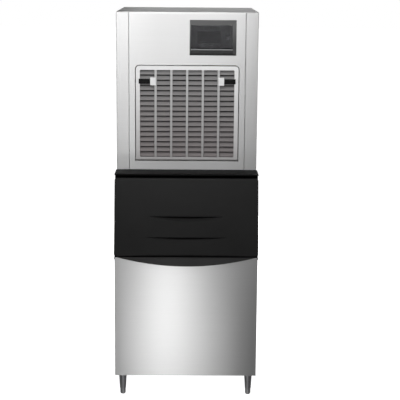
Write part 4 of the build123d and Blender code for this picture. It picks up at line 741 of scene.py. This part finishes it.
def makeWorld():
    # the camera sees a white backdrop, and the object gets a dim even light from all round
    world = bpy.data.worlds.new("studio")
    bpy.context.scene.world = world
    world.use_nodes = True
    tree = world.node_tree
    tree.nodes.clear()
    dim = addNode(tree, "ShaderNodeBackground", {"Color": (1, 1, 1, 1), "Strength": studio["surround"]})
    white = addNode(tree, "ShaderNodeBackground", {"Color": (1, 1, 1, 1), "Strength": studio["backdrop"]})
    seen = addNode(tree, "ShaderNodeLightPath").outputs["Is Camera Ray"]
    mix = addNode(tree, "ShaderNodeMixShader", links={0: seen, 1: dim.outputs[0], 2: white.outputs[0]})
    addNode(tree, "ShaderNodeOutputWorld", links={"Surface": mix.outputs[0]})


def makeFloor():
    bm = bmesh.new()
    bmesh.ops.create_grid(bm, x_segments=1, y_segments=1, size=studio["floorHalf"])
    mesh = bpy.data.meshes.new("floor")
    bm.to_mesh(mesh)
    bm.free()
    floor = bpy.data.objects.new("floor", mesh)
    bpy.context.scene.collection.objects.link(floor)
    material, tree, shader, place = startMaterial("floorPaperPale", {
        "Base Color": hexColour(studio["floorHex"]), "Roughness": studio["floorRoughness"],
        "Emission Color": (1, 1, 1, 1),
    })
    away = addNode(tree, "ShaderNodeVectorMath", {"operation": "LENGTH"}, {0: place}).outputs["Value"]
    glow = addNode(tree, "ShaderNodeMapRange", {
        "From Min": studio["glowFrom"], "From Max": studio["glowTo"],
        "To Min": studio["glowNear"], "To Max": studio["glowFar"],
    }, {"Value": away}).outputs["Result"]
    tree.links.new(glow, shader.inputs["Emission Strength"])
    mesh.materials.append(material)
    # the steel mirrors the soft boxes, not the glowing paper
    floor.visible_glossy = False
    floor.visible_diffuse = False


def makeLights():
    for name, values in lights.items():
        lamp = bpy.data.lights.new(name, "AREA")
        lamp.shape = "RECTANGLE"
        lamp.size, lamp.size_y = values["size"]
        lamp.energy = values["power"]
        holder = bpy.data.objects.new(name, lamp)
        bpy.context.scene.collection.objects.link(holder)
        holder.location = values["at"]
        aim = Vector(values["aim"]) - Vector(values["at"])
        holder.rotation_euler = aim.to_track_quat("-Z", "Y").to_euler()
        holder.visible_camera = False


makeWorld()
makeFloor()
makeLights()
bpy.context.scene.view_settings.view_transform = "Standard"
print("studio made")

# Camera: fitted to the photograph's perspective, with no shift; angles in degrees, lens and sensor in mm
cameraFit = {
    "at": (0.0085, -4.7, 1.6646), "pan": -0.586, "tilt": 11.35, "roll": 0.455, "lens": 102.3, "sensor": 36,
}
lensData = bpy.data.cameras.new("camera")
lensData.sensor_width = cameraFit["sensor"]
lensData.lens = cameraFit["lens"]
camera = bpy.data.objects.new("camera", lensData)
bpy.context.scene.collection.objects.link(camera)
turn = Matrix.Rotation(radians(cameraFit["pan"]), 4, "Z")
tilt = Matrix.Rotation(radians(90 - cameraFit["tilt"]), 4, "X")
roll = Matrix.Rotation(radians(cameraFit["roll"]), 4, "Z")
camera.matrix_world = Matrix.Translation(cameraFit["at"]) @ turn @ tilt @ roll
bpy.context.scene.camera = camera
print("camera placed")
